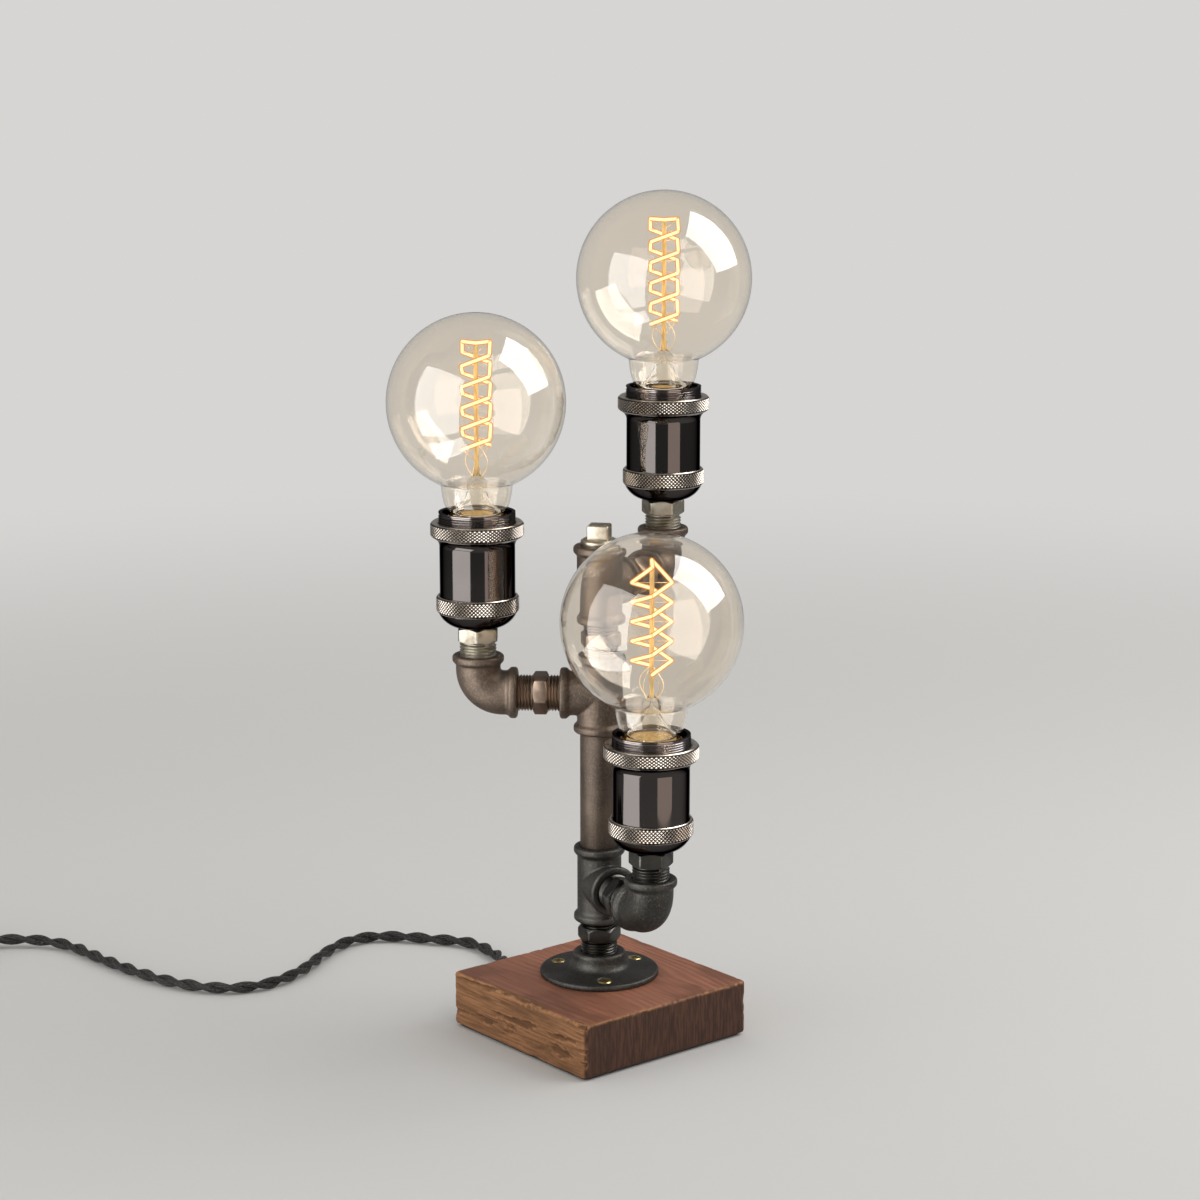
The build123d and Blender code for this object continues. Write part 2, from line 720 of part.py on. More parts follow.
def screw_cap(level, spot):
    """The brass shell of the bulb's cap."""
    outside = screw_cap_profile()
    inside = [(r - SCREW_CAP_WALL, h) for r, h in reversed(outside)]
    with BuildPart() as part:
        turn([*outside, *inside], spot)
    finish(f"{level}_bulb_cap", part.part)


def bulb_tip(level, spot):
    """The glass insulator at the foot of the cap and the solder contact in it."""
    with BuildPart() as part:
        turn([(0, 38.2), (5.0, 38.2), (9.8, 41.4), (9.8, 42.0), (0, 42.0)], spot)
        turn([(0, BULB_TIP), (2.6, BULB_TIP), (4.2, 37.4), (4.6, 38.2), (0, 38.2)], spot)
    finish(f"{level}_bulb_tip", part.part)


def glass_section(spot, wall):
    """Half the outline of the globe and neck, set in by the wall."""
    radius = BULB_RADIUS - wall
    top_radius, foot_radius = NECK_TOP_RADIUS - wall, NECK_FOOT_RADIUS - wall
    fold = (top_radius + 0.35, BULB_CENTRE - sqrt(radius**2 - (top_radius + 0.35) ** 2))
    with BuildSketch(facing(spot, UP)) as outline:
        with BuildLine():
            ball = ThreePointArc((0, BULB_CENTRE + radius), (radius, BULB_CENTRE), fold)
            crease = Line(ball @ 1, (top_radius, fold[1] - 1.6))
            neck = ThreePointArc(crease @ 1, (top_radius - 0.9, 70.5), (foot_radius, NECK_FOOT + 4.5))
            foot = Line(neck @ 1, (foot_radius, NECK_FOOT))
            Line(foot @ 1, (0, NECK_FOOT))
            Line((0, NECK_FOOT), ball @ 0)
        make_face()
    return outline.sketch


def globe(level, spot):
    """The blown glass globe with its neck, open at the foot."""
    with BuildPart() as part:
        revolve(glass_section(spot, 0.0), axis=Axis(spot, UP))
        revolve(glass_section(spot, GLASS_WALL), axis=Axis(spot, UP), mode=Mode.SUBTRACT)
    finish(f"{level}_globe", part.part)


def cage_corner(level, spot, quarters, height):
    """The bend of the wire that many quarter turns on from the first strand's foot."""
    azimuth = CAGES[level][0] + 90 * quarters
    return (
        spot[0] + CAGE_RADIUS * cos(radians(azimuth)),
        spot[1] + CAGE_RADIUS * sin(radians(azimuth)),
        spot[2] + height,
    )


def cage_strands(level, spot):
    """The bends of both strands from foot to last even step; the second starts opposite."""
    _, foot, last, _ = CAGES[level]
    rise = (last - foot) / CAGE_STEPS
    return [
        [cage_corner(level, spot, start + step, foot + rise * step) for step in range(CAGE_STEPS + 1)]
        for start in (0, 2)
    ]


def cage_horns(level, spot):
    """The two upper ends of the cage, which the wire joins over the tip of the rod."""
    return [
        cage_corner(level, spot, quarters, CAGE_TOP)
        for quarters in (CAGE_STEPS + 1, CAGES[level][3])
    ]


def filament(level, spot):
    """The glowing wire, bent round the supports as two strands that cross all the way up."""
    rising, falling = cage_strands(level, spot)
    first_horn, second_horn = cage_horns(level, spot)
    opposite = CAGES[level][3] - CAGE_STEPS == 3  # then the wire over the rod is straight
    over_rod = [] if opposite else [(spot[0], spot[1], spot[2] + CAGE_TOP)]
    corners = [*rising, first_horn, *over_rod, second_horn, *reversed(falling)]
    with BuildPart() as part:
        with BuildLine() as path:
            Polyline(*corners)
        start = Vector(*corners[0])
        heading = Vector(*corners[1]) - start
        with BuildSketch(Plane(origin=start, z_dir=heading)) as section:
            RegularPolygon(FILAMENT_RADIUS, 6)
        sweep(section.sketch, path=path.line, transition=Transition.RIGHT)
    finish(f"{level}_filament", part.part)


def support(corner, root, gap):
    """Adds a wire from the rod's axis to just short of a bend in the filament."""
    reach = Vector(*corner) - Vector(*root)
    with BuildSketch(Plane(origin=root, z_dir=reach.normalized())) as wire:
        RegularPolygon(SUPPORT_RADIUS, 6)
    extrude(wire.sketch, amount=reach.length - FILAMENT_RADIUS - gap)


def mount(level, spot):
    """The glass stem with its rod, and the wire supports that carry the filament."""
    with BuildPart() as part:
        turn(
            [
                (0, STEM_PRESS_TOP),
                (2.6, STEM_PRESS_TOP - 0.5),
                (3.6, 81.0),
                (3.4, 75.0),
                (4.4, 70.5),
                (8.4, 66.0),
                (STEM_FLARE_RADIUS, 64.6),
                (STEM_FLARE_RADIUS, 65.6),
                (8.9, 67.2),
                (5.4, 71.2),
                (4.6, 75.0),
                (4.8, 81.5),
                (3.2, 85.0),
                (STEM_ROD_RADIUS, STEM_PRESS_TOP + 2.2),
                (STEM_ROD_RADIUS, STEM_ROD_TOP - 0.7),
                (0.6, STEM_ROD_TOP),
                (0, STEM_ROD_TOP),
            ],
            spot,
        )
        for strand in cage_strands(level, spot):
            for corner in strand:
                support(corner, (spot[0], spot[1], corner[2]), SUPPORT_GAP)
        for horn in cage_horns(level, spot):
            root = (spot[0], spot[1], horn[2] - HORN_SUPPORT_DROP)
            support(horn, root, HORN_SUPPORT_GAP)
    finish(f"{level}_mount", part.part)


# ------------------------------------------------------------------------ wires and lead


def tube(points, radius, bends):
    """Adds a round tube along straight runs joined by arcs of the given radii."""
    with BuildLine() as path:
        run = FilletPolyline(*points, radius=bends)
    with BuildSketch(Plane(origin=run @ 0, z_dir=run % 0)) as section:
        Circle(radius)
    sweep(section.sketch, path=path.line)
    return run.length


def widest_bends(points):
    """For each corner of a route, 0.45 of its shorter run over the tangent of half its turn."""
    radii = []
    for before, corner, after in zip(points, points[1:], points[2:]):
        arriving = Vector(*corner) - Vector(*before)
        leaving = Vector(*after) - Vector(*corner)
        half_turn = radians(arriving.get_angle(leaving)) / 2
        radii.append(0.45 * min(arriving.length, leaving.length) / tan(half_turn))
    return radii


def inner_leads():
    """Three flexible leads from the terminal block up the column, one to each holder."""
    face = TERMINAL_SPOT[1] - TERMINAL_SIZE[1] / 2
    lead_height = FELT_THICKNESS + RECESS_DEPTH - 5.0
    with BuildPart() as part:
        for number, (azimuth, height, _) in enumerate(LEVELS.values()):
            start_x = TERMINAL_SPOT[0] + 8.0 * (number - 1)
            x, y, _ = outward(azimuth, LEAD_OFFSET)
            tube(
                [
                    (start_x, face, lead_height),
                    (start_x, face - 2.2, lead_height),
                    (x, y, lead_height - (3.5 if number == 0 else 0.0)),
                    (x, y, height),
                    outward(azimuth, ARM_LENGTH, height),
                    outward(azimuth, ARM_LENGTH, height + FITTING_REACH + CORE_SEAT + 4.0),
                ],
                LEAD_RADIUS,
                [1.6, 1.8, 2.8, 5.0],
            )
    finish("inner_leads", part.part)


def free_cord():
    """The mains lead where it lies free, and the coil of the length put away."""
    to_switch = [*LAMP_ROUTE, switch_end(-1)]
    to_coil = [switch_end(1), *COIL_ROUTE, coil_entry()]
    plug_end = (*PLUG_START, PLUG_THICKNESS / 2)
    to_plug = [coil_leaving(), *PLUG_ROUTE, along(plug_end, outward(PLUG_AZIMUTH), -12.6), plug_end]
    with BuildPart() as part:
        for route in (to_switch, to_coil, to_plug):
            bends = widest_bends(route)
            length = tube(route, CORD_RADIUS, bends)
            print("lead", round(length, 1), "mm, bends", [round(b) for b in bends])
        coil_form(CLEARANCE, mode=Mode.SUBTRACT)
    print("lead volume", round(part.part.volume), "solids", len(part.part.solids()))
    finish("mains_lead", part.part)
    with BuildPart() as coil:
        coil_form(0.0)
        fillet(coil.edges().filter_by(GeomType.CIRCLE).group_by(SortBy.RADIUS)[-1], 2.0)
        fillet(coil.faces().sort_by(Axis.Z)[-1].edges(), 2.0)
    finish("lead_coil", coil.part)


def coil_form(gap, mode=Mode.ADD):
    """Adds the coil's stepped ring, or cuts its outside away with that gap all round."""
    inner = COIL_INNER_RADIUS if mode == Mode.ADD else 0
    turn(
        [
            (inner, 0),
            (COIL_OUTER_RADIUS + gap, 0),
            (COIL_OUTER_RADIUS + gap, CORD_DIAMETER),
            (COIL_UPPER_RADIUS + gap, CORD_DIAMETER),
            (COIL_UPPER_RADIUS + gap, 2 * CORD_DIAMETER + gap),
            (inner, 2 * CORD_DIAMETER + gap),
        ],
        (*COIL_CENTRE, 0.0),
        mode=mode,
    )


def switch_end(side, height=SWITCH_HEIGHT / 2 - 4.0):
    """Where the lead meets one end of the switch."""
    reach = side * SWITCH_LENGTH / 2
    angle = radians(SWITCH_AZIMUTH)
    return (SWITCH_CENTRE[0] + reach * cos(angle), SWITCH_CENTRE[1] + reach * sin(angle), height)


def coil_entry():
    """Where the lead joins the coil's outermost turn on the floor."""
    x, y, _ = outward(COIL_ENTRY_AZIMUTH, COIL_OUTER_RADIUS - CORD_RADIUS)
    return (COIL_CENTRE[0] + x, COIL_CENTRE[1] + y, FLOOR)


def coil_leaving():
    """Where the lead leaves the coil's upper layer."""
    x, y, _ = outward(COIL_EXIT_AZIMUTH, COIL_UPPER_RADIUS - CORD_RADIUS)
    return (COIL_CENTRE[0] + x, COIL_CENTRE[1] + y, FLOOR + CORD_DIAMETER)


# ----------------------------------------------------------------------- switch and plug


def switch():
    """The inline switch: a rounded housing with a window, and the rocker on its pin."""
    angle = SWITCH_AZIMUTH
    middle = (*SWITCH_CENTRE, 0.0)
    length_dir = outward(angle)
    plan = Plane(origin=middle, x_dir=length_dir, z_dir=UP)
    pin_height = SWITCH_HEIGHT - 3.0
    pin_axis = outward(angle + 90)
    with BuildPart() as housing:
        with BuildSketch(plan) as outline:
            with BuildLine():
                end = SWITCH_LENGTH / 2
                half = SWITCH_WIDTH / 2
                blunt = SWITCH_END_WIDTH / 2
                top = ThreePointArc((-end, blunt), (0, half), (end, blunt))
                Line(top @ 1, (end, -blunt))
                under = ThreePointArc((end, -blunt), (0, -half), (-end, -blunt))
                Line(under @ 1, top @ 0)
            make_face()
        extrude(outline.sketch, amount=SWITCH_HEIGHT)
        fillet(housing.faces().sort_by(Axis.Z)[-1].edges(), 2.6)
        fillet(housing.faces().sort_by(Axis.Z)[0].edges(), 1.2)
        with BuildSketch(plan.offset(SWITCH_HEIGHT - 7.5)) as window:
            Rectangle(ROCKER_LENGTH + 0.6, ROCKER_WIDTH + 0.8)
        extrude(window.sketch, amount=20, mode=Mode.SUBTRACT)
        pin_start = along((*SWITCH_CENTRE, pin_height), pin_axis, -ROCKER_WIDTH / 2 - 2.0)
        rod(ROCKER_PIN_RADIUS + CLEARANCE, pin_start, pin_axis, ROCKER_WIDTH + 4.0, Mode.SUBTRACT)
        for side in (-1, 1):
            mouth = switch_end(side)
            inward = outward(angle + (180 if side > 0 else 0))
            rod(CORD_RADIUS + CLEARANCE, along(mouth, inward, -1), inward, 11.0, Mode.SUBTRACT)
    finish("switch_housing", housing.part)
    with BuildPart() as rocker:
        tilt = radians(ROCKER_TILT)
        sloping = (length_dir[0] * cos(tilt), length_dir[1] * cos(tilt), sin(tilt))
        tilted = Plane(origin=(*SWITCH_CENTRE, pin_height), x_dir=sloping, z_dir=outward(angle - 90))
        with BuildSketch(tilted) as side_view:
            with BuildLine():
                high = CenterArc((0, 0), ROCKER_LENGTH / 2, -12, 34)
                low = CenterArc((0, 0), ROCKER_LENGTH / 2, 158, 34)
                ThreePointArc(high @ 1, (0, 2.4), low @ 0)
                Polyline(low @ 1, (0, -3.2), high @ 0)
            make_face()
        extrude(side_view.sketch, amount=ROCKER_WIDTH / 2, both=True)
        pin_start = along((*SWITCH_CENTRE, pin_height), pin_axis, -ROCKER_WIDTH / 2 - 1.8)
        rod(ROCKER_PIN_RADIUS, pin_start, pin_axis, ROCKER_WIDTH + 3.6)
    finish("switch_rocker", rocker.part)


def plug():
    """The flat two-pin plug at the end of the lead."""
    heading = outward(PLUG_AZIMUTH)
    start = (*PLUG_START, PLUG_THICKNESS / 2)
    face = along(start, heading, PLUG_LENGTH)
    sideways = outward(PLUG_AZIMUTH + 90)
    with BuildPart() as body:
        sections = [
            (0.0, PLUG_NECK, PLUG_NECK),
            (9.0, 15.0, 11.0),
            (20.0, PLUG_WIDTH - 1, PLUG_THICKNESS - 0.6),
            (PLUG_LENGTH, PLUG_WIDTH, PLUG_THICKNESS),
        ]
        sketches = []
        for distance, width, thickness in sections:
            with BuildSketch(across(along(start, heading, distance), heading, sideways)) as section:
                RectangleRounded(width, thickness, min(width, thickness) * 0.42)
            sketches.append(section.sketch)
        loft(sections=sketches)
        for side in (-1, 1):
            socket = along(face, sideways, side * PIN_SPACING / 2)
            rod(PIN_RADIUS + CLEARANCE, along(socket, heading, -8.0), heading, 9.0, Mode.SUBTRACT)
    finish("plug_body", body.part)
    with BuildPart() as pins:
        for side in (-1, 1):
            root = along(along(face, sideways, side * PIN_SPACING / 2), heading, -8.0)
            rod(PIN_RADIUS, root, heading, PIN_LENGTH + 8.0)
        chamfer(pins.faces().group_by(SortBy.AREA)[0].edges(), 0.6)
    finish("plug_pins", pins.part)


# ------------------------------------------------------------------------------ assembly

os.makedirs("parts", exist_ok=True)
base()
strain_relief()
terminal_block()
floor_flange()
flange_screws()
flange_face = BASE_TOP + FLANGE_HEIGHT
lower_face = LEVELS["lower"][1] - FITTING_REACH
nipple("lower_nipple", (0, 0, flange_face), UP, lower_face - flange_face, 5.4, 20.5)
riser_pipe()
middle_face = LEVELS["middle"][1] + FITTING_REACH
upper_face = LEVELS["upper"][1] - FITTING_REACH
column_gap = upper_face - middle_face
nipple("upper_nipple", (0, 0, middle_face), UP, column_gap, (column_gap - HEX_HEIGHT) / 2, 8.0)
top_plug()
holder_spots = []
for level, (azimuth, height, hex_turn) in LEVELS.items():
    tee(f"{level}_tee", height, azimuth)
    elbow(f"{level}_elbow", height, azimuth)
    arm_gap = ARM_LENGTH - 2 * FITTING_REACH
    arm_start = outward(azimuth, FITTING_REACH, height)
    nipple(f"{level}_arm_nipple", arm_start, outward(azimuth), arm_gap, 5.2, 17.7, UP)
    holder = outward(azimuth, ARM_LENGTH, height + FITTING_REACH)
    holder_spots.append(holder)
    holder_bushing(level, holder, hex_turn)
    holder_cap(level, holder)
    holder_shell(level, holder)
    shade_ring(level, holder)
    holder_core(level, holder)
    screw_cap(level, holder)
    bulb_tip(level, holder)
    globe(level, holder)
    mount(level, holder)
    filament(level, holder)
holder_studs(holder_spots)
holder_contacts(holder_spots)
inner_leads()
free_cord()
switch()
plug()
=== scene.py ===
"""Looks of a table lamp made of threaded pipe fittings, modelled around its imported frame.

Every operator makes one piece, or one group of like pieces, in the frame's own coordinates.
Profiles are in millimetres and are turned on the Z axis before a piece is set in its place.
"""

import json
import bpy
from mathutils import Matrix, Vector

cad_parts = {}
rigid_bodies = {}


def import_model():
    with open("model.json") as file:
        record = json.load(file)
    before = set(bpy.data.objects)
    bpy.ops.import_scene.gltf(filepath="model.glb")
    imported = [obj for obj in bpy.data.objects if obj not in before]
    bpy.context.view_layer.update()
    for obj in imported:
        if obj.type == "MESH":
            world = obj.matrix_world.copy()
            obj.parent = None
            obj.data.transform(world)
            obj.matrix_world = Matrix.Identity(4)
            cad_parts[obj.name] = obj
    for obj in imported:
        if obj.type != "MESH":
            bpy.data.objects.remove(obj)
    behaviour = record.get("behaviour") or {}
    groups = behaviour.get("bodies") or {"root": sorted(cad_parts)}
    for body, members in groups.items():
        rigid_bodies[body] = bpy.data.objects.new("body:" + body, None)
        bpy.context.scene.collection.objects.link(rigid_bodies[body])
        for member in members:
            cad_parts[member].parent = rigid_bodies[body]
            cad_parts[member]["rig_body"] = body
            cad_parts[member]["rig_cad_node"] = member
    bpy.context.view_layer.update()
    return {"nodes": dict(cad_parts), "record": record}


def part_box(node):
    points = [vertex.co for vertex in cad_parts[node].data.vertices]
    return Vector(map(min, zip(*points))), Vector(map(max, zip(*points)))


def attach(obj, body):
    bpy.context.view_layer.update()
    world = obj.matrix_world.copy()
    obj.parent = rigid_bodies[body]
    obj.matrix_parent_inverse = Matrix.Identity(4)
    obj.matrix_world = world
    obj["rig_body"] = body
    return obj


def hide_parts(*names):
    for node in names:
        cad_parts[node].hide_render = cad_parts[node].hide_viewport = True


bl_info = {
    "name": "Pipe Fitting Table Lamp",
    "version": (1, 0, 0),
    "blender": (4, 5, 0),
    "location": "3D View > Sidebar > Pipe Lamp",
    "description": "Models the base, castings, bulb holders, bulbs and lead of a pipe table lamp",
    "category": "Add Mesh",
}

from contextlib import contextmanager
from math import asin, atan2, ceil, cos, pi, radians, sin, sqrt, tau

import bmesh
import bpy
from bpy.props import FloatProperty, FloatVectorProperty, IntProperty, PointerProperty
from mathutils import Matrix, Vector, noise

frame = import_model()

# The body that each node rides on
BODIES = {node: body for body, nodes in frame["record"]["behaviour"]["bodies"].items()
          for node in nodes}

MM = 0.001
TOUCH = 0.01  # nearer than this is the same place, millimetres
UP = Vector((0, 0, 1))
LEVELS = ("lower", "middle", "upper")

# Heights of a bulb holder's parts above the mouth of the elbow that carries it, millimetres
BUSHING_HEX_BOTTOM = 6.0
CAP_BOTTOM = 12.9
CAP_RIM_BOTTOM = 19.8
CAP_RIM_TOP = 27.4
CAP_SHOULDER = 21.0
FLARE_BOTTOM = 49.5
FLARE_TOP = 54.2
COLLAR_TOP = 65.6

BUSHING_TURNS = (20.5, -9.5, 14.9)  # azimuth of a hexagon's corner, one per level, degrees

# Radii of a bulb holder's parts, millimetres
STUD_BORE = 5.05
CAP_RIM_RADIUS = 18.74
SHELL_RADIUS = 17.0
SHELL_BORE = 15.9
FLARE_RADIUS = 19.4
COLLAR_RADIUS = 17.35
COLLAR_ROOT = 16.85
COLLAR_BORE = 15.6
RING_RADIUS = 21.1
RING_BORE = 17.43
RING_HEIGHT = 6.7

# Pipe thread, the pipe, and the hexagons for a spanner, millimetres
THREAD_PITCH = 1.337
THREAD_CREST = 8.33
THREAD_ROOT = 7.5
THREAD_SUNK = 1.5  # how far a thread that shows goes on inside its fitting
PIPE_RADIUS = 8.75
WATERWAY = 6.4
SCREWED_IN = 8.0
FITTING_REACH = 17.8
HEX_ACROSS_FLATS = 17.5
HEX_CORNER_RADIUS = HEX_ACROSS_FLATS / sqrt(3)
HEX_HEIGHT = 6.9

# Wear and painted highlight on the castings' edges: how often one is smoothed to find its proud
# edges, and how far an edge stands out when it shows fully bare metal and a painted highlight
EDGE_SPREAD = 24
EDGE_PROUD = 0.30 * MM

# Wear of the block: saw marks in the outer skin of its rough side, and dents along its edges
SAWN_SKIN = 2.4 * MM
SAW_MARK = 0.30 * MM
DENTED_EDGE = 3.0 * MM
DENT_DEPTH = 1.1 * MM

# Globe bulb, heights as for the holder, millimetres
BULB_RADIUS = 40.0
BULB_CENTRE = 114.5
GLASS_WALL = 0.8
NECK_TOP_RADIUS = 15.9
NECK_FOOT_RADIUS = 12.9
NECK_FOOT = 60.0
STEM_ROD_TOP = 140.4
CAGE_TOP = 141.0
CAGE_RADIUS = 8.8
CAGE_STEPS = 9
HORN_SUPPORT_DROP = 4.6
HOOK_RADIUS = 0.65
SUPPORT_RADIUS = 0.17
GLARE = 0.50

# Per filament: azimuth of its first foot in degrees, height of its feet and of the last even
# step, and the quarter turns from the first foot to the second strand's upper end
CAGES = {
    "lower": (230.5, 93.8, 132.7, 12),
    "middle": (185.5, 94.3, 136.2, 11),
    "upper": (185.5, 94.3, 136.2, 11),
}

# Route of the lead on the table, metres: from the base to the switch, and on to the coil
CORD_RADIUS = 0.0028
LAMP_ROUTE = [
    (-0.0030, 0.0445, 0.0105), (-0.0030, 0.0710, 0.0105), (0.0125, 0.0880, 0.0048),
    (0.0205, 0.1045, 0.0028), (0.0225, 0.1270, 0.0028), (0.0110, 0.1420, 0.0028),
    (-0.0030, 0.1610, 0.0028), (-0.0190, 0.1695, 0.0028), (-0.0420, 0.1620, 0.0028),
    (-0.0660, 0.1450, 0.0028), (-0.0920, 0.1380, 0.0028), (-0.1120, 0.1470, 0.0028),
    (-0.1250, 0.1690, 0.0028), (-0.1310, 0.1960, 0.0028), (-0.1340, 0.2260, 0.0028),
    (-0.1350, 0.2530, 0.0028), (-0.1492, 0.2716, 0.0040), (-0.1685, 0.2815, 0.0045),
]
COIL_ROUTE = [
    (-0.2157, 0.3077, 0.0045), (-0.2335, 0.3170, 0.0040), (-0.2540, 0.3220, 0.0028),
    (-0.2736, 0.3073, 0.0028),
]
PLUG_ROUTE = [
    (-0.2871, 0.2511, 0.0084), (-0.28505, 0.23823, 0.0068), (-0.2820, 0.2260, 0.0068),
]
COIL_CENTRE = (-0.2542, 0.2680)
COIL_START = 140.5  # azimuth at which each turn begins, degrees
COIL_CROSSING = 40.0  # the last degrees of a turn, in which it moves to the next
COIL_TURNS = (0.0400, 0.0344, 0.0288, 0.0232, 0.0232, 0.0288, 0.0344)  # radius of each turn
COIL_FLOOR_TURNS = 4  # those that lie on the table
COIL_LAST_ARC = 45.0  # how much there is of the last turn, degrees
COIL_STEP = 15.0  # from point to point, degrees

# Braid: yarns round a strand, and the length of one diamond, metres
YARNS = 5
DIAMOND = 0.0042

# Camera, metres and degrees
CAMERA_SPOT = (-0.830, -1.007, 0.480)
CAMERA_AZIMUTH = 50.49
CAMERA_PITCH = -12.04
CAMERA_FIELD = 22.85

# Stage, metres: what the lights face, and the floor, which fades out between two distances
LAMP_MIDDLE = Vector((0, 0, 0.24))
FLOOR_RADIUS = 4.0
FLOOR_DROP = 0.0002
FADE = (0.45, 1.5)


def tone(red, green, blue):
    """A colour from its screen values, 0 to 255, as linear numbers."""
    return tuple(((value / 255 + 0.055) / 1.055) ** 2.4 for value in (red, green, blue))


def direction(azimuth, raised=0.0):
    """The way that points to an azimuth, and up by an angle, both in degrees."""
    level = cos(radians(raised))
    return Vector((cos(radians(azimuth)) * level, sin(radians(azimuth)) * level, sin(radians(raised))))


# ------------------------------------------------------------------------------- settings


def colour_setting(name, about, default):
    """A colour that a user can change."""
    return FloatVectorProperty(name=name, description=about, subtype="COLOR", default=default,
                               min=0, max=1)


def length_setting(name, about, default, least, most):
    """A length that a user can change, given in millimetres."""
    return FloatProperty(name=name, description=about, default=default * MM, min=least * MM,
                         max=most * MM, unit="LENGTH")


class WoodSettings(bpy.types.PropertyGroup):
    """The wooden base."""

    top: colour_setting("Top", "Stained face grain", tone(158, 103, 79))
    sawn: colour_setting("Sawn side", "Rough side where the stain took less", tone(158, 113, 78))
    end: colour_setting("End grain", "Side across the grain, which drank the stain", tone(74, 47, 33))
    chip_depth: length_setting("Chip depth", "Deepest chip in the rough side", 1.5, 0, 3)
    cell: length_setting("Detail", "Size of the mesh's smallest faces", 0.72, 0.5, 3)


class IronSettings(bpy.types.PropertyGroup):
    """The castings and the screwed pipework."""

    dark: colour_setting("Blackened iron", "Oiled black fittings at the foot", tone(62, 61, 58))
    brown: colour_setting("Browned iron", "Fittings higher up", tone(96, 84, 74))
    # Colour of bare metal on the edges, which also serves as their painted highlight and as the painted
    # glints
    worn_and_highlit: colour_setting("Worn edges", "Bare metal on edges", tone(168, 158, 142))
    cell: length_setting("Casting detail", "Size of a casting's smallest faces", 0.42, 0.3, 2)
    soften: IntProperty(name="Casting softness", default=9, min=0, max=60,
                        description="How often a casting's edges are smoothed")
    edge: length_setting("Hexagon edge", "Rounding of a hexagon's edges", 0.35, 0.05, 1)


class HolderSettings(bpy.types.PropertyGroup):
    """The bulb holders."""

    mirror: colour_setting("Black chrome", "Mirror-bright shell and cup", tone(66, 63, 62))
    knurl: colour_setting("Knurled rings", "Gunmetal of the two knurled rings", tone(186, 177, 167))
    nickel: colour_setting("Pale hexagon", "Plating of the upper bushings", tone(160, 156, 144))
    columns: IntProperty(name="Knurl columns", description="Points round a knurled ring",
                         default=136, min=48, max=400)
    rows: IntProperty(name="Knurl rows", description="Points up a knurled ring",
                      default=8, min=4, max=30)
    depth: length_setting("Knurl depth", "Height of each diamond", 0.45, 0.05, 1)


class BulbSettings(bpy.types.PropertyGroup):
    """The globe bulbs."""

    glass: colour_setting("Glass", "Faint amber of the glass", (0.942, 0.898, 0.835))
    glow: colour_setting("Filament", "Colour of the glowing wire", (1.0, 0.78, 0.45))
    strength: FloatProperty(name="Brightness", description="How strongly the filament glows",
                            default=3.2, min=0, max=50)
    wire: length_setting("Filament radius", "Radius of the coiled filament", 0.66, 0.1, 1)


class LeadSettings(bpy.types.PropertyGroup):
    """The twisted lead."""

    textile: colour_setting("Textile", "Braid over both strands", tone(28, 24, 22))
    strand: length_setting("Strand radius", "Radius of one insulated strand", 1.4, 0.5, 3)
    twist: length_setting("Twist", "Length of one full twist of the two strands", 27, 8, 100)


class StageSettings(bpy.types.PropertyGroup):
    """Floor and light."""

    floor: colour_setting("Floor", "Pale floor and backdrop", tone(214, 213, 211))
    ambient: FloatProperty(name="Ambient", description="Light from all round", default=0.95,
                           min=0, max=3)
    mirrored: FloatProperty(name="Mirrored", default=0.42, min=0, max=3,
                            description="How pale the surroundings look in metal and glass")


# ------------------------------------------------------------------------ modelling by hand


def deselect():
    """Leaves edit mode and selects nothing."""
    if bpy.context.object and bpy.context.object.mode != "OBJECT":
        bpy.ops.object.mode_set(mode="OBJECT")
    bpy.ops.object.select_all(action="DESELECT")


def activate(*pieces):
    """Selects these pieces alone; the first is the active one."""
    deselect()
    for piece in pieces:
        piece.select_set(True)
    bpy.context.view_layer.objects.active = pieces[0]


@contextmanager
def editing(piece):
    """Edit mode on one piece."""
    activate(piece)
    bpy.ops.object.mode_set(mode="EDIT")
    yield bmesh.from_edit_mesh(piece.data)
    bpy.ops.object.mode_set(mode="OBJECT")


def modify(piece, kind, **settings):
    """Adds one modifier and applies it."""
    activate(piece)
    modifier = piece.modifiers.new(kind.title(), kind)
    for name, value in settings.items():
        setattr(modifier, name, value)
    bpy.ops.object.modifier_apply(modifier=modifier.name)
    return piece


def smooth_below(piece, degrees):
    """Shades edges flatter than this angle smooth."""
    activate(piece)
    bpy.ops.object.shade_smooth_by_angle(angle=radians(degrees))
    return piece


def close_and_face_outwards(piece, bridge=False):
    """Closes what is open, by a band between two rims or by a face in each, and turns all faces out."""
    with editing(piece):
        bpy.ops.mesh.select_mode(type="EDGE")
        bpy.ops.mesh.select_all(action="DESELECT")
        bpy.ops.mesh.select_non_manifold(extend=False, use_wire=False, use_multi_face=False,
                                         use_non_contiguous=False, use_verts=False)
        if bridge:
            bpy.ops.mesh.bridge_edge_loops()
        else:
            bpy.ops.mesh.edge_face_add()
        bpy.ops.mesh.select_all(action="SELECT")
        bpy.ops.mesh.normals_make_consistent(inside=False)
    return piece


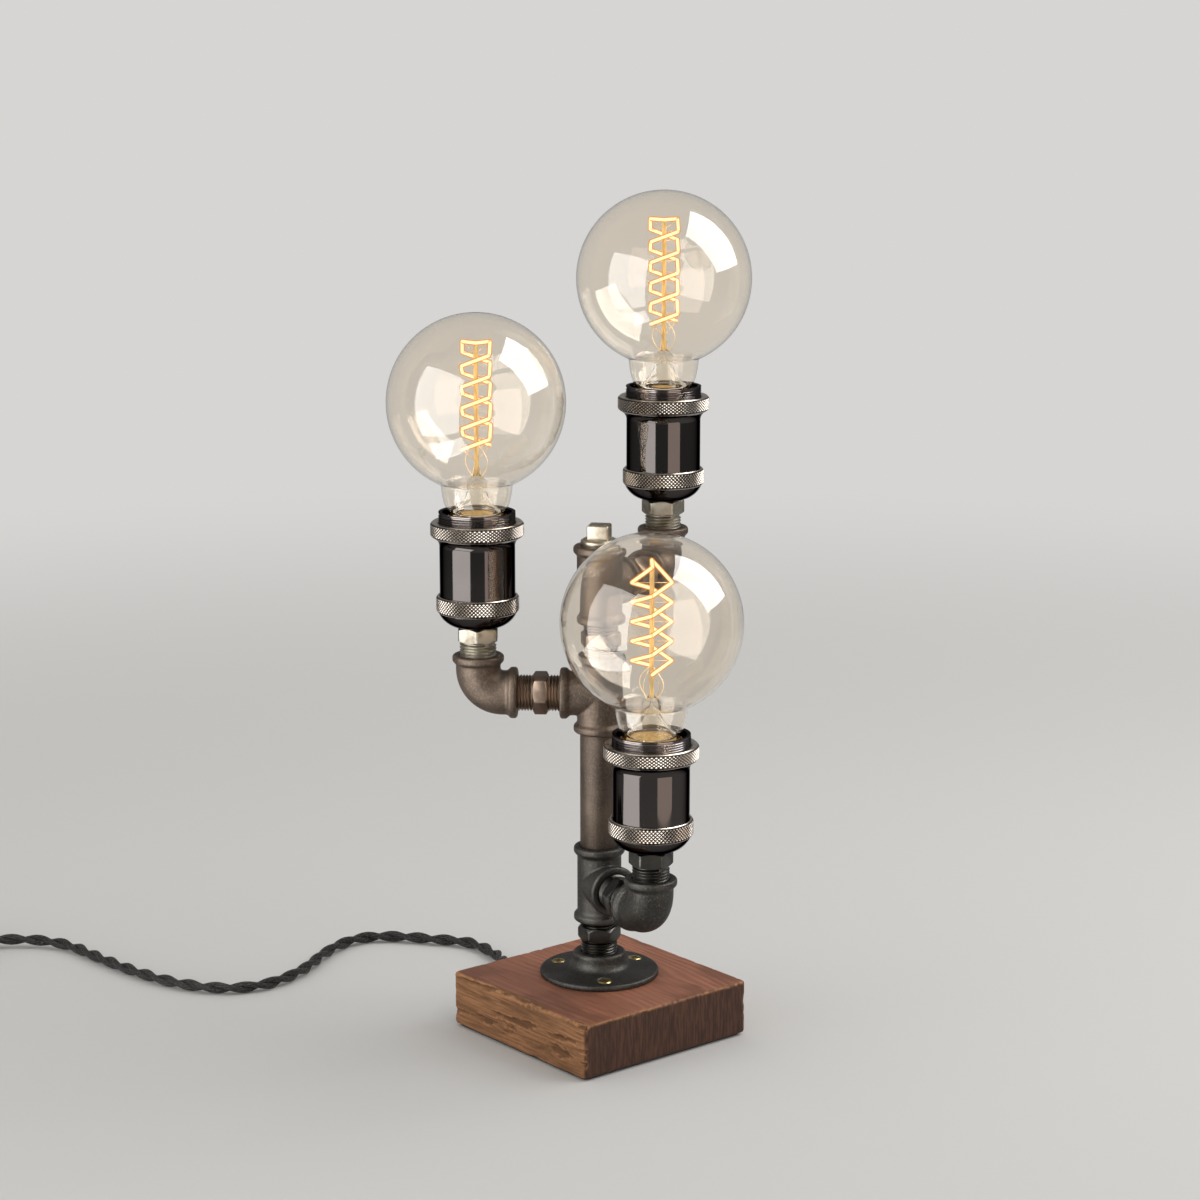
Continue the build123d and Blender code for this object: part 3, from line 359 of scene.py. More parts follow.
def turned(profile, segments=128, hollow=False, edge=0.0, smooth=35.0):
    """Turns (radius, height) points on the Z axis, as on a lathe."""
    deselect()
    (radius, height), *others = profile
    bpy.ops.mesh.primitive_circle_add(vertices=segments, radius=radius * MM,
                                      location=(0, 0, height * MM))
    piece = bpy.context.object
    bpy.ops.object.transform_apply(location=True)
    bpy.ops.object.mode_set(mode="EDIT")
    bpy.ops.mesh.select_mode(type="EDGE")
    bpy.ops.mesh.select_all(action="SELECT")
    for next_radius, next_height in others:
        bpy.ops.mesh.extrude_edges_move(
            TRANSFORM_OT_translate={"value": (0, 0, (next_height - height) * MM)})
        grown = next_radius / radius
        bpy.ops.transform.resize(value=(grown, grown, 1), center_override=(0, 0, 0))
        radius, height = next_radius, next_height
    bpy.ops.object.mode_set(mode="OBJECT")
    close_and_face_outwards(piece, bridge=hollow)
    if edge:
        modify(piece, "BEVEL", width=edge * MM, segments=3, limit_method="ANGLE",
               angle_limit=radians(28), use_clamp_overlap=True)
    return smooth_below(piece, smooth)


def raise_knurl(piece, radius, bottom, top, holder):
    """Lifts every other point of a ring's grid, so that each becomes a diamond's tip."""
    columns, rows, depth = holder.columns, holder.rows, holder.depth / MM
    with editing(piece) as grid:
        bpy.ops.mesh.select_all(action="DESELECT")
        bpy.ops.mesh.select_mode(type="VERT")
        step = (top - bottom) / rows
        for point in grid.verts:
            row = (point.co.z / MM - bottom) / step
            column = atan2(point.co.y, point.co.x) / tau * columns
            on_band = abs(point.co.xy.length / MM - radius) < TOUCH and 0.5 < row < rows - 0.5
            point.select = on_band and (round(row) + round(column)) % 2 == 0
        grid.select_flush_mode()
        grown = (radius + depth) / radius
        bpy.ops.transform.resize(value=(grown, grown, 1), center_override=(0, 0, 0))
        bpy.ops.mesh.select_all(action="SELECT")
        bpy.ops.mesh.quads_convert_to_tris(quad_method="SHORTEST_DIAGONAL", ngon_method="BEAUTY")
    # Height above the valleys; the knurled paint turns low values into painted shade
    raised = piece.data.attributes.new("raised", "FLOAT", "POINT")
    for point, share in zip(piece.data.vertices, raised.data):
        reach = point.co.xy.length / MM
        on_band = bottom - TOUCH < point.co.z / MM < top + TOUCH and reach > radius - TOUCH
        share.value = min(1.0, max(0.0, (reach - radius) / depth)) if on_band else 1.0
    return smooth_below(piece, 12)


def rows_between(bottom, top, rows, radius):
    """Evenly spaced profile points up a straight side."""
    return [(radius, bottom + (top - bottom) * row / rows) for row in range(rows + 1)]


def arc_between(start, through, end, steps):
    """Profile points along the arc through three points, both ends included."""
    (ax, ay), (bx, by), (cx, cy) = start, through, end
    turn = 2 * (ax * (by - cy) + bx * (cy - ay) + cx * (ay - by))
    squares = [x * x + y * y for x, y in (start, through, end)]
    mx = (squares[0] * (by - cy) + squares[1] * (cy - ay) + squares[2] * (ay - by)) / turn
    my = (squares[0] * (cx - bx) + squares[1] * (ax - cx) + squares[2] * (bx - ax)) / turn
    radius = sqrt((ax - mx) ** 2 + (ay - my) ** 2)
    first, middle, last = (atan2(y - my, x - mx) for x, y in (start, through, end))
    sweep = (last - first) % tau
    if (middle - first) % tau > sweep:
        sweep -= tau
    angles = [first + sweep * step / steps for step in range(steps + 1)]
    return [(mx + radius * cos(angle), my + radius * sin(angle)) for angle in angles]


def hexagon(bottom, turned_by, edge, corner=0.9):
    """A spanner hexagon with turned-down corners and eased edges."""
    deselect()
    blender_start = 30  # a six-sided cylinder has a corner here, degrees from +X
    top = bottom + HEX_HEIGHT
    bpy.ops.mesh.primitive_cylinder_add(
        vertices=6, radius=HEX_CORNER_RADIUS * MM, depth=HEX_HEIGHT * MM,
        location=(0, 0, (bottom + HEX_HEIGHT / 2) * MM),
        rotation=(0, 0, radians(turned_by - blender_start)))
    nut = bpy.context.object
    bpy.ops.object.transform_apply(location=True, rotation=True)
    face, side = HEX_ACROSS_FLATS / 2 - 0.3, HEX_CORNER_RADIUS - 0.25
    cutter = turned([(face, bottom - 0.001), (side, bottom + corner), (side, top - corner),
                     (face, top + 0.001)], 96)
    modify(nut, "BOOLEAN", operation="INTERSECT", object=cutter, solver="EXACT")
    bpy.data.objects.remove(cutter)
    with editing(nut):
        bpy.ops.mesh.select_all(action="SELECT")
        bpy.ops.mesh.dissolve_limited(angle_limit=radians(0.5))
    modify(nut, "BEVEL", width=edge, segments=3, limit_method="ANGLE", angle_limit=radians(25),
           use_clamp_overlap=True)
    return smooth_below(nut, 30)


def thread(bottom, top, crest=THREAD_CREST, root=THREAD_ROOT, pitch=THREAD_PITCH, steps=72):
    """A helical ridge of triangular section round the Z axis."""
    deselect()
    bpy.ops.mesh.primitive_circle_add(vertices=3, radius=pitch * MM)
    ridge = bpy.context.object
    half = pitch * 0.49
    corners = ((root, bottom - half), (crest, bottom), (root, bottom + half))
    for point, (radius, height) in zip(ridge.data.vertices, corners):
        point.co = (radius * MM, 0, height * MM)
    turns = (top - bottom) / pitch
    modify(ridge, "SCREW", axis="Z", angle=tau * turns, screw_offset=(top - bottom) * MM,
           steps=ceil(steps * turns), render_steps=ceil(steps * turns), use_normal_calculate=True)
    close_ends(ridge)
    return smooth_below(ridge, 20)


def close_ends(piece):
    """Puts a face in each open end and turns all faces out."""
    with editing(piece):
        bpy.ops.mesh.select_mode(type="EDGE")
        bpy.ops.mesh.select_all(action="SELECT")
        bpy.ops.mesh.fill_holes(sides=0)
        bpy.ops.mesh.select_all(action="SELECT")
        bpy.ops.mesh.normals_make_consistent(inside=False)
    return piece


def joined(*pieces):
    """One piece out of several."""
    activate(*pieces)
    bpy.ops.object.join()
    return bpy.context.object


def copied(piece):
    """A copy with its own mesh."""
    twin = piece.copy()
    twin.data = piece.data.copy()
    bpy.context.scene.collection.objects.link(twin)
    return twin


def shank(bore, bottom, top):
    """The tube that carries a pipe thread."""
    radius = THREAD_ROOT + 0.1
    return turned([(bore, bottom), (radius, bottom), (radius, top), (bore, top)], 72, hollow=True)


def nipple(gap, before, turned_by, edge, corner=0.9):
    """A hexagon nipple on the Z axis that fills a gap from height 0, with its thread each side."""
    tube = shank(WATERWAY, -SCREWED_IN, gap + SCREWED_IN)
    nut = hexagon(before, turned_by, edge, corner)
    below = thread(-THREAD_SUNK, before - 0.2)
    above = thread(before + HEX_HEIGHT + 0.2, gap + THREAD_SUNK)
    return joined(tube, nut, below, above)


def settle(piece, spot=(0, 0, 0), turn=None):
    """Moves a piece to its place and puts that place into its mesh."""
    piece.matrix_world = Matrix.Translation(spot) @ (turn or Matrix()).to_4x4()
    activate(piece)
    bpy.ops.object.transform_apply(location=True, rotation=True, scale=True)
    return piece


def holder_spot(level):
    """Where a holder's axis meets the mouth of its elbow."""
    low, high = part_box(f"{level}_holder_shell")
    return Vector(((low.x + high.x) / 2, (low.y + high.y) / 2, low.z - CAP_SHOULDER * MM))


def dress(piece, name, paint, *nodes, slot=None):
    """Names and paints a finished piece, which rides with the nodes that it stands for."""
    piece.name = piece.data.name = name
    piece.data.materials.clear()
    piece.data.materials.append(paint)
    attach(piece, BODIES[nodes[0]])
    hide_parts(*nodes)
    return piece


def paint_nodes(paint, *nodes):
    """Gives nodes that keep their own mesh a better material."""
    for node in nodes:
        materials = frame["nodes"][node].data.materials
        materials.clear()
        materials.append(paint)


def cast(node, cell, soften):
    """A node's form with the soft edges of a casting."""
    piece = copied(frame["nodes"][node])
    piece.parent = None
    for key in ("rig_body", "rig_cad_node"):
        del piece[key]
    with editing(piece):
        bpy.ops.mesh.select_all(action="SELECT")
        bpy.ops.mesh.remove_doubles(threshold=0.004 * MM)
    modify(piece, "REMESH", mode="VOXEL", voxel_size=cell, use_smooth_shade=True)
    modify(piece, "SMOOTH", factor=0.5, iterations=soften)
    activate(piece)
    bpy.ops.object.shade_smooth()
    return piece


def note_proud_edges(piece):
    """Writes to each point how far it stands above its surroundings, 1 where bare metal and a painted
    highlight show.
    """
    around = modify(copied(piece), "SMOOTH", factor=0.5, iterations=EDGE_SPREAD)
    worn_and_highlit = piece.data.attributes.new("worn_and_highlit", "FLOAT", "POINT")
    for point, level, share in zip(piece.data.vertices, around.data.vertices, worn_and_highlit.data):
        share.value = max(0.0, (point.co - level.co).dot(point.normal) / EDGE_PROUD)
    bpy.data.objects.remove(around)


def placed(name, data):
    """A new object in the scene with this data."""
    holder = bpy.data.objects.new(name, data)
    bpy.context.scene.collection.objects.link(holder)
    return holder


def curve_through(splines, rounded, resolution):
    """A curve with a spline for each list of points in metres, smooth or straight between them."""
    curve = bpy.data.curves.new("curve", "CURVE")
    curve.dimensions = "3D"
    for points in splines:
        spline = curve.splines.new("NURBS" if rounded else "POLY")
        spline.points.add(len(points) - 1)
        for place, point in zip(spline.points, points):
            place.co = (*point, 1)
        if rounded:
            spline.order_u = 3
            spline.use_endpoint_u = True
            spline.resolution_u = resolution
    return placed("curve", curve)


def wire(splines, radius, sides=3, rounded=False):
    """Round wire through lists of points in metres, as one mesh."""
    bent = curve_through(splines, rounded, 4)
    bent.data.bevel_depth = radius
    bent.data.bevel_resolution = sides
    bent.data.use_fill_caps = True
    activate(bent)
    bpy.ops.object.convert(target="MESH")
    bpy.ops.object.shade_smooth()
    return bpy.context.object


# ------------------------------------------------------------------------- shader writing


class Wire:
    """A value in a node tree; arithmetic on it adds Math nodes."""

    def __init__(self, tree, socket):
        self.tree = tree
        self.socket = socket

    def __add__(self, other):
        return self.tree.maths("ADD", self, other)

    def __sub__(self, other):
        return self.tree.maths("SUBTRACT", self, other)

    def __rsub__(self, other):
        return self.tree.maths("SUBTRACT", other, self)

    def __mul__(self, other):
        return self.tree.maths("MULTIPLY", self, other)

    __radd__ = __add__
    __rmul__ = __mul__


class Tree:
    """The nodes of a material or of the world."""

    def __init__(self, tree):
        self.nodes = tree.nodes
        self.links = tree.links

    def connect(self, socket, value):
        """Links a wire into a socket, or sets the socket's own value."""
        if isinstance(value, Wire):
            self.links.new(value.socket, socket)
        elif socket.type == "RGBA":
            socket.default_value = (*value, 1.0)
        else:
            socket.default_value = value

    def node(self, kind, settings, inputs, output=0):
        """Adds any node: its type, its settings, then its sockets."""
        made = self.nodes.new(kind)
        for name, value in settings.items():
            setattr(made, name, value)
        for key, value in inputs.items():
            self.connect(made.inputs[key], value)
        return Wire(self, made.outputs[output])

    def maths(self, operation, *values):
        """One Math node."""
        return self.node("ShaderNodeMath", {"operation": operation}, dict(enumerate(values)))

    def axis(self, which):
        """One of the object coordinates."""
        spot = self.node("ShaderNodeTexCoord", {}, {}, "Object")
        return self.node("ShaderNodeSeparateXYZ", {}, {0: spot}, which)

    def attribute(self, name):
        """The number of this name that each point of the mesh holds."""
        return self.node("ShaderNodeAttribute", {"attribute_name": name}, {}, "Fac")

    def noise(self, cell, detail=3.0, rough=0.55, stretch=(1, 1, 1), shift=(0, 0, 0), bend=0.0):
        """Cloudy noise whose blots are about a cell, in metres, across."""
        spot = self.node("ShaderNodeTexCoord", {}, {}, "Object")
        where = self.node("ShaderNodeMapping", {}, {
            "Vector": spot, "Scale": tuple(share / cell for share in stretch), "Location": shift})
        return self.node("ShaderNodeTexNoise", {}, {
            "Vector": where, "Scale": 1.0, "Detail": detail, "Roughness": rough, "Distortion": bend})

    def between(self, value, low, high):
        """0 below low, 1 above high and smooth between them."""
        return self.node("ShaderNodeMapRange", {"interpolation_type": "SMOOTHSTEP"}, {
            "Value": value, "From Min": low, "From Max": high})

    def mix(self, factor, first, second):
        """A colour between two colours."""
        return self.node("ShaderNodeMix", {"data_type": "RGBA"}, {0: factor, 6: first, 7: second}, 2)


class Paint(Tree):
    """A material under construction."""

    def __init__(self, name, **shader):
        self.material = bpy.data.materials.new(name)
        self.material.use_nodes = True
        super().__init__(self.material.node_tree)
        self.shader = self.nodes["Principled BSDF"]
        self.set(**shader)

    def set(self, **shader):
        """Sets the Principled shader's sockets; underscores stand for spaces."""
        for name, value in shader.items():
            self.connect(self.shader.inputs[name.replace("_", " ")], value)

    def relief(self, *heights):
        """Bump from (height, distance in metres) pairs, one over the other."""
        normal = None
        for height, distance in heights:
            inputs = {"Height": height, "Distance": distance, "Strength": 1.0}
            if normal:
                inputs["Normal"] = normal
            normal = self.node("ShaderNodeBump", {}, inputs)
        self.set(Normal=normal)

    def show(self, factor, first, second):
        """Shows a mix of two shaders as the material's surface."""
        mixed = self.node("ShaderNodeMixShader", {}, {0: factor, 1: first, 2: second})
        self.links.new(mixed.socket, self.nodes["Material Output"].inputs["Surface"])


def shade(colour, factor):
    """A colour made darker or lighter by a number."""
    return tuple(min(1.0, value * factor) for value in colour)


def wood_paint(wood, low, high):
    """Stained wood whose grain runs along Y: face grain, a rough sawn side and end grain."""
    paint = Paint("stained_wood")
    ring_waves = 1500.0  # radians a metre, so a year's growth is about 4 mm wide
    drift = paint.noise(0.045, 2, 0.5, (1, 0.3, 0.6))
    wobble = paint.noise(0.004, 3, 0.6, (1, 0.05, 0.5))
    rings = paint.maths("SINE", (paint.axis("X") * ring_waves + drift * 60.0) + wobble * 5.0)
    faint = paint.noise(0.02, 2, 0.5, (1, 0.25, 1), (9, 2, 1))
    rings = paint.between(rings, -0.9, 1.0) * paint.between(faint, 0.3, 0.7)
    fibres = paint.noise(0.00055, 3, 0.65, (1, 0.02, 1))
    pores = paint.between(paint.noise(0.0008, 2, 0.5, (1, 0.045, 0.8), (3, 1, 2)), 0.60, 0.68)
    clouds = paint.noise(0.024, 3, 0.5, (1, 0.5, 1))
    face = paint.mix(rings * 0.40 + fibres * 0.60, shade(wood.top, 0.60), shade(wood.top, 1.42))
    face = paint.mix(paint.between(clouds, 0.47, 0.60) * 0.55, face, shade(wood.top, 0.40))
    face = paint.mix(pores * 0.55, face, shade(wood.top, 0.30))
    slant = paint.noise(0.0016, 4, 0.7, (1, 0.055, 1), (0, 5, 0), 0.5)
    torn = paint.attribute("torn")
    sawn = paint.mix(paint.between(slant, 0.33, 0.66), shade(wood.sawn, 0.50), shade(wood.sawn, 1.30))
    sawn = paint.mix(paint.between(clouds, 0.40, 0.60) * 0.35, sawn, shade(wood.sawn, 0.45))
    # Chips in the rough side are painted darker: painted shade in the hollows
    sawn = paint.mix(paint.between(torn, 0.05, 0.8) * 0.60, sawn, shade(wood.sawn, 0.30))
    lines = paint.between(paint.noise(0.0009, 3, 0.6, (1, 1, 0.10)), 0.36, 0.66)
    end = paint.mix(lines, shade(wood.end, 0.55), shade(wood.end, 1.45))
    end = paint.mix(rings * 0.35, end, shade(wood.end, 0.6))
    x, y, rim = paint.axis("X"), paint.axis("Y"), 1.1 * MM
    left = paint.between(x, low.x + 2 * rim, low.x + 0.3 * rim)
    left = paint.maths("MAXIMUM", left, paint.between(torn, 0.02, 0.12))
    front = paint.between(y, low.y + 1.5 * rim, low.y + 0.3 * rim)
    back = paint.between(y, high.y - 1.5 * rim, high.y - 0.3 * rim)
    colour = paint.mix(left, face, sawn)
    colour = paint.mix(paint.maths("MAXIMUM", front, back), colour, end)
    # Edges painted lighter: partly scuffed stain, partly a painted highlight along the top edges
    edges = paint.between(paint.node("ShaderNodeNewGeometry", {}, {}, "Pointiness"), 0.508, 0.55)
    worn_and_highlit = edges * paint.between(paint.noise(0.004), 0.26, 0.55)
    worn_and_highlit = worn_and_highlit * paint.between(paint.axis("Z"), low.z + 2 * MM, low.z + 4 * MM)
    colour = paint.mix(worn_and_highlit * 0.75, colour, shade(wood.sawn, 1.6))
    paint.set(Base_Color=colour, Roughness=0.46 + 0.30 * left + 0.16 * fibres, Specular_IOR_Level=0.35)
    paint.relief((fibres * (1 - left) + slant * left, 0.14 * MM), (rings, 0.06 * MM))
    return paint.material


def iron_paint(name, body, worn_and_highlit, metallic=0.75, grain=0.0011):
    """Cast or rolled iron with a sandy skin, oily patches, painted glints, and edges scuffed bare that also
    carry a painted highlight.
    """
    paint = Paint(name, Metallic=metallic)
    sand = paint.noise(grain, 4, 0.7)
    patches = paint.noise(0.014, 3, 0.5, shift=(4, 2, 0))
    # Painted glints: light specks that stand in for the glitter of the cast skin
    painted_glints = paint.between(paint.noise(grain * 0.6, 2, 0.5, shift=(1, 7, 3)), 0.62, 0.68)
    colour = paint.mix(paint.between(patches, 0.3, 0.7), shade(body, 0.72), shade(body, 1.25))
    colour = paint.mix(paint.between(sand, 0.42, 0.72) * 0.6, colour, shade(body, 1.9))
    colour = paint.mix(painted_glints * 0.4, colour, shade(worn_and_highlit, 0.7))
    missed = paint.between(paint.noise(0.0035, 3), 0.15, 0.50)
    # Edges scuffed bare, which also carry a painted highlight
    rubbed_and_highlit = paint.between(paint.attribute("worn_and_highlit"), 0.45, 1.0) * missed
    colour = paint.mix(rubbed_and_highlit * 0.85, colour, worn_and_highlit)
    paint.set(Base_Color=colour, Roughness=0.50 + 0.20 * sand - 0.18 * rubbed_and_highlit - 0.08 * patches)
    paint.relief((sand, 0.16 * MM), (patches, 0.25 * MM))
    return paint.material


def knurled_paint(name, body, painted_valley_shade):
    """Plated knurling: the tips shine, and the valleys between them carry painted shade, almost black."""
    paint = Paint(name, Metallic=1.0)
    wear = paint.noise(0.004, 3)
    tip = paint.between(paint.attribute("raised"), 0.22, 0.62)
    colour = paint.mix(wear * 0.20, paint.mix(tip, painted_valley_shade, shade(body, 1.1)), shade(body, 0.5))
    paint.set(Base_Color=colour, Roughness=0.22 + 0.14 * wear)
    return paint.material


def machined_paint(name, body, dirt, roughness):
    """Cut or plated metal with fine tool marks and tarnish."""
    paint = Paint(name, Metallic=1.0)
    marks = paint.noise(0.0007, 3, 0.6, (1, 1, 0.05))
    tarnish = paint.between(paint.noise(0.005, 4, 0.6, shift=(2, 5, 1)), 0.42, 0.72)
    colour = paint.mix(marks * 0.5, shade(body, 0.86), shade(body, 1.1))
    colour = paint.mix(tarnish * 0.55, colour, dirt)
    paint.set(Base_Color=colour, Roughness=roughness + 0.16 * tarnish + 0.05 * marks)
    paint.relief((marks, 0.02 * MM))
    return paint.material


def mirror_paint(name, body, roughness=0.055):
    """Black chrome: mirror bright with the faintest haze."""
    paint = Paint(name, Metallic=1.0, Specular_Tint=(0.25, 0.25, 0.27))
    haze = paint.between(paint.noise(0.018, 4, 0.6), 0.45, 0.8)
    paint.set(Base_Color=paint.mix(haze * 0.25, body, shade(body, 1.35)),
              Roughness=roughness + 0.05 * haze)
    return paint.material


def glass_paint(name, tint, index):
    """Clear glass with a faint unevenness from blowing."""
    paint = Paint(name, Base_Color=tint, Transmission_Weight=1.0, Roughness=0.0, IOR=index)
    paint.relief((paint.noise(0.030, 1, 0.4), 0.03 * MM))
    return paint.material


def moulded_paint(name, body, roughness, grain=0.0006, depth=0.02):
    """Moulded plastic, rubber or glaze with a fine skin."""
    paint = Paint(name)
    skin = paint.noise(grain, 2)
    cloud = paint.noise(0.012, 2)
    paint.set(Base_Color=paint.mix(cloud, shade(body, 0.9), shade(body, 1.12)),
              Roughness=roughness + 0.12 * skin)
    paint.relief((skin, depth * MM))
    return paint.material


def felt_paint(name, body):
    """Short-haired felt."""
    paint = Paint(name, Sheen_Weight=0.4)
    hair = paint.noise(0.0005, 4, 0.8, bend=1.5)
    paint.set(Base_Color=paint.mix(hair, shade(body, 0.6), shade(body, 1.6)), Roughness=0.95)
    paint.relief((hair, 0.15 * MM))
    return paint.material


def glowing_paint(name, colour, strength):
    """The hot filament, brighter and darker turn by turn of its fine coil."""
    paint = Paint(name, Base_Color=shade(colour, 0.3), Roughness=0.6)
    turns = paint.noise(0.0006, 1, 0.5)
    paint.set(Emission_Color=paint.mix(turns, shade(colour, 0.92), colour), Emission_Strength=strength)
    return paint.material


def painted_glow_paint(name, body, light, strength, metallic=0.0):
    """Something pale inside the bulb with a painted golden glow, standing in for the filament's light."""
    paint = Paint(name, Metallic=metallic, Roughness=0.35, Emission_Strength=strength)
    streaks = paint.noise(0.0016, 2, 0.5, (1, 1, 0.25))
    paint.set(Base_Color=paint.mix(streaks, shade(body, 0.7), body),
              Emission_Color=paint.mix(paint.between(streaks, 0.35, 0.65), shade(light, 0.45), light))
    return paint.material


def halo_paint(name, colour, share):
    """Glare that hugs the filament, partly see-through."""
    return Paint(name, Base_Color=(0, 0, 0), Roughness=1.0, Specular_IOR_Level=0.0, Alpha=share,
                 Emission_Color=colour, Emission_Strength=1.0).material


def textile_paint(name, body, around, along):
    """A round braid: diamonds of yarn that cross as they go along the strand's own UV map."""
    paint = Paint(name, Sheen_Weight=0.12)
    spot = paint.node("ShaderNodeUVMap", {"uv_map": "UVMap"}, {})
    u = paint.node("ShaderNodeSeparateXYZ", {}, {0: spot}, 0)
    v = paint.node("ShaderNodeSeparateXYZ", {}, {0: spot}, 1)
    one_way = paint.maths("SINE", u * (tau * along) + v * (tau * around))
    other_way = paint.maths("SINE", u * (tau * along) - v * (tau * around))
    yarn = paint.maths("MAXIMUM", one_way, other_way)
    fuzz = paint.noise(0.0004, 3, 0.7)
    colour = paint.mix(paint.between(yarn, -0.2, 1.0), shade(body, 0.35), shade(body, 1.3))
    colour = paint.mix(paint.between(fuzz, 0.5, 0.8) * 0.4, colour, shade(body, 2.2))
    paint.set(Base_Color=colour, Roughness=0.62)
    paint.relief((yarn, 0.22 * MM), (fuzz, 0.06 * MM))
    return paint.material


# ------------------------------------------------------------------------------- operators


class LAMP_OT_base(bpy.types.Operator):
    """Model the stained wooden block with its rough sawn side and scuffed edges that carry a painted
    highlight
    """

    bl_idname = "lamp.base"
    bl_label = "Wooden base"

    def execute(self, context):
        wood = context.scene.lamp_wood
        low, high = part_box("base_block")
        block = cast("base_block", wood.cell, 2)
        torn = block.data.attributes.new("torn", "FLOAT", "POINT")
        for point, share in zip(block.data.vertices, torn.data):
            share.value = self.torn(point.co, low)
            point.co = self.weathered(point.co, low, high, wood.chip_depth * share.value)
        dress(block, "wooden_block", wood_paint(wood, low, high), "base_block")
        paint_nodes(felt_paint("black_felt", (0.02, 0.02, 0.02)), "felt_pad")
        return {"FINISHED"}

    def torn(self, spot, low):
        """How deep a splinter came out of the -X side here, 0 to 1."""
        if spot.x > low.x + SAWN_SKIN:
            return 0.0
        gouge = noise.fractal(Vector((3, spot.y * 30 + spot.z * 24, spot.z * 170)), 0.7, 2.3, 5)
        return max(0.0, min(1.0, (gouge - 0.20) * 4.0))

    def weathered(self, spot, low, high, chip):
        """The spot moved in by saw marks and a chip on the -X side and by dents along the edges."""
        moved = spot.copy()
        if spot.x < low.x + SAWN_SKIN:
            fibre = noise.fractal(Vector((0, spot.y * 60 + spot.z * 30, spot.z * 620)), 0.7, 2.1, 3)
            moved.x += (SAW_MARK * (fibre + 0.8) + chip) * (1 - (spot.x - low.x) / SAWN_SKIN)
        sides = (spot.x - low.x, high.x - spot.x, spot.y - low.y, high.y - spot.y, high.z - spot.z)
        from_edge = sorted(sides)[1]
        if from_edge < DENTED_EDGE and spot.z > low.z + DENTED_EDGE:
            dent = max(0.0, noise.fractal(spot * 170, 0.9, 2.0, 3) - 0.1) * DENT_DEPTH
            inwards = Vector(((low.x + high.x) / 2, (low.y + high.y) / 2, low.z)) - spot
            moved += inwards.normalized() * dent * (1 - from_edge / DENTED_EDGE)
        return moved


class LAMP_OT_castings(bpy.types.Operator):
    """Model the floor flange, the tees and the elbows as sand castings"""

    bl_idname = "lamp.castings"
    bl_label = "Castings"

    def execute(self, context):
        iron = context.scene.lamp_iron
        dark = iron_paint("blackened_iron", iron.dark, iron.worn_and_highlit)
        brown = iron_paint("browned_iron", iron.brown, iron.worn_and_highlit)
        self.casting(iron, "flange_casting", dark, "floor_flange")
        for level in LEVELS:
            paint = dark if level == "lower" else brown
            for form in ("tee", "elbow"):
                self.casting(iron, f"{level}_{form}_casting", paint, f"{level}_{form}")
        return {"FINISHED"}

    def casting(self, iron, name, paint, node):
        """A node as a casting with its edges scuffed bare and given a painted highlight."""
        piece = cast(node, iron.cell, iron.soften)
        note_proud_edges(piece)
        dress(piece, name, paint, node)


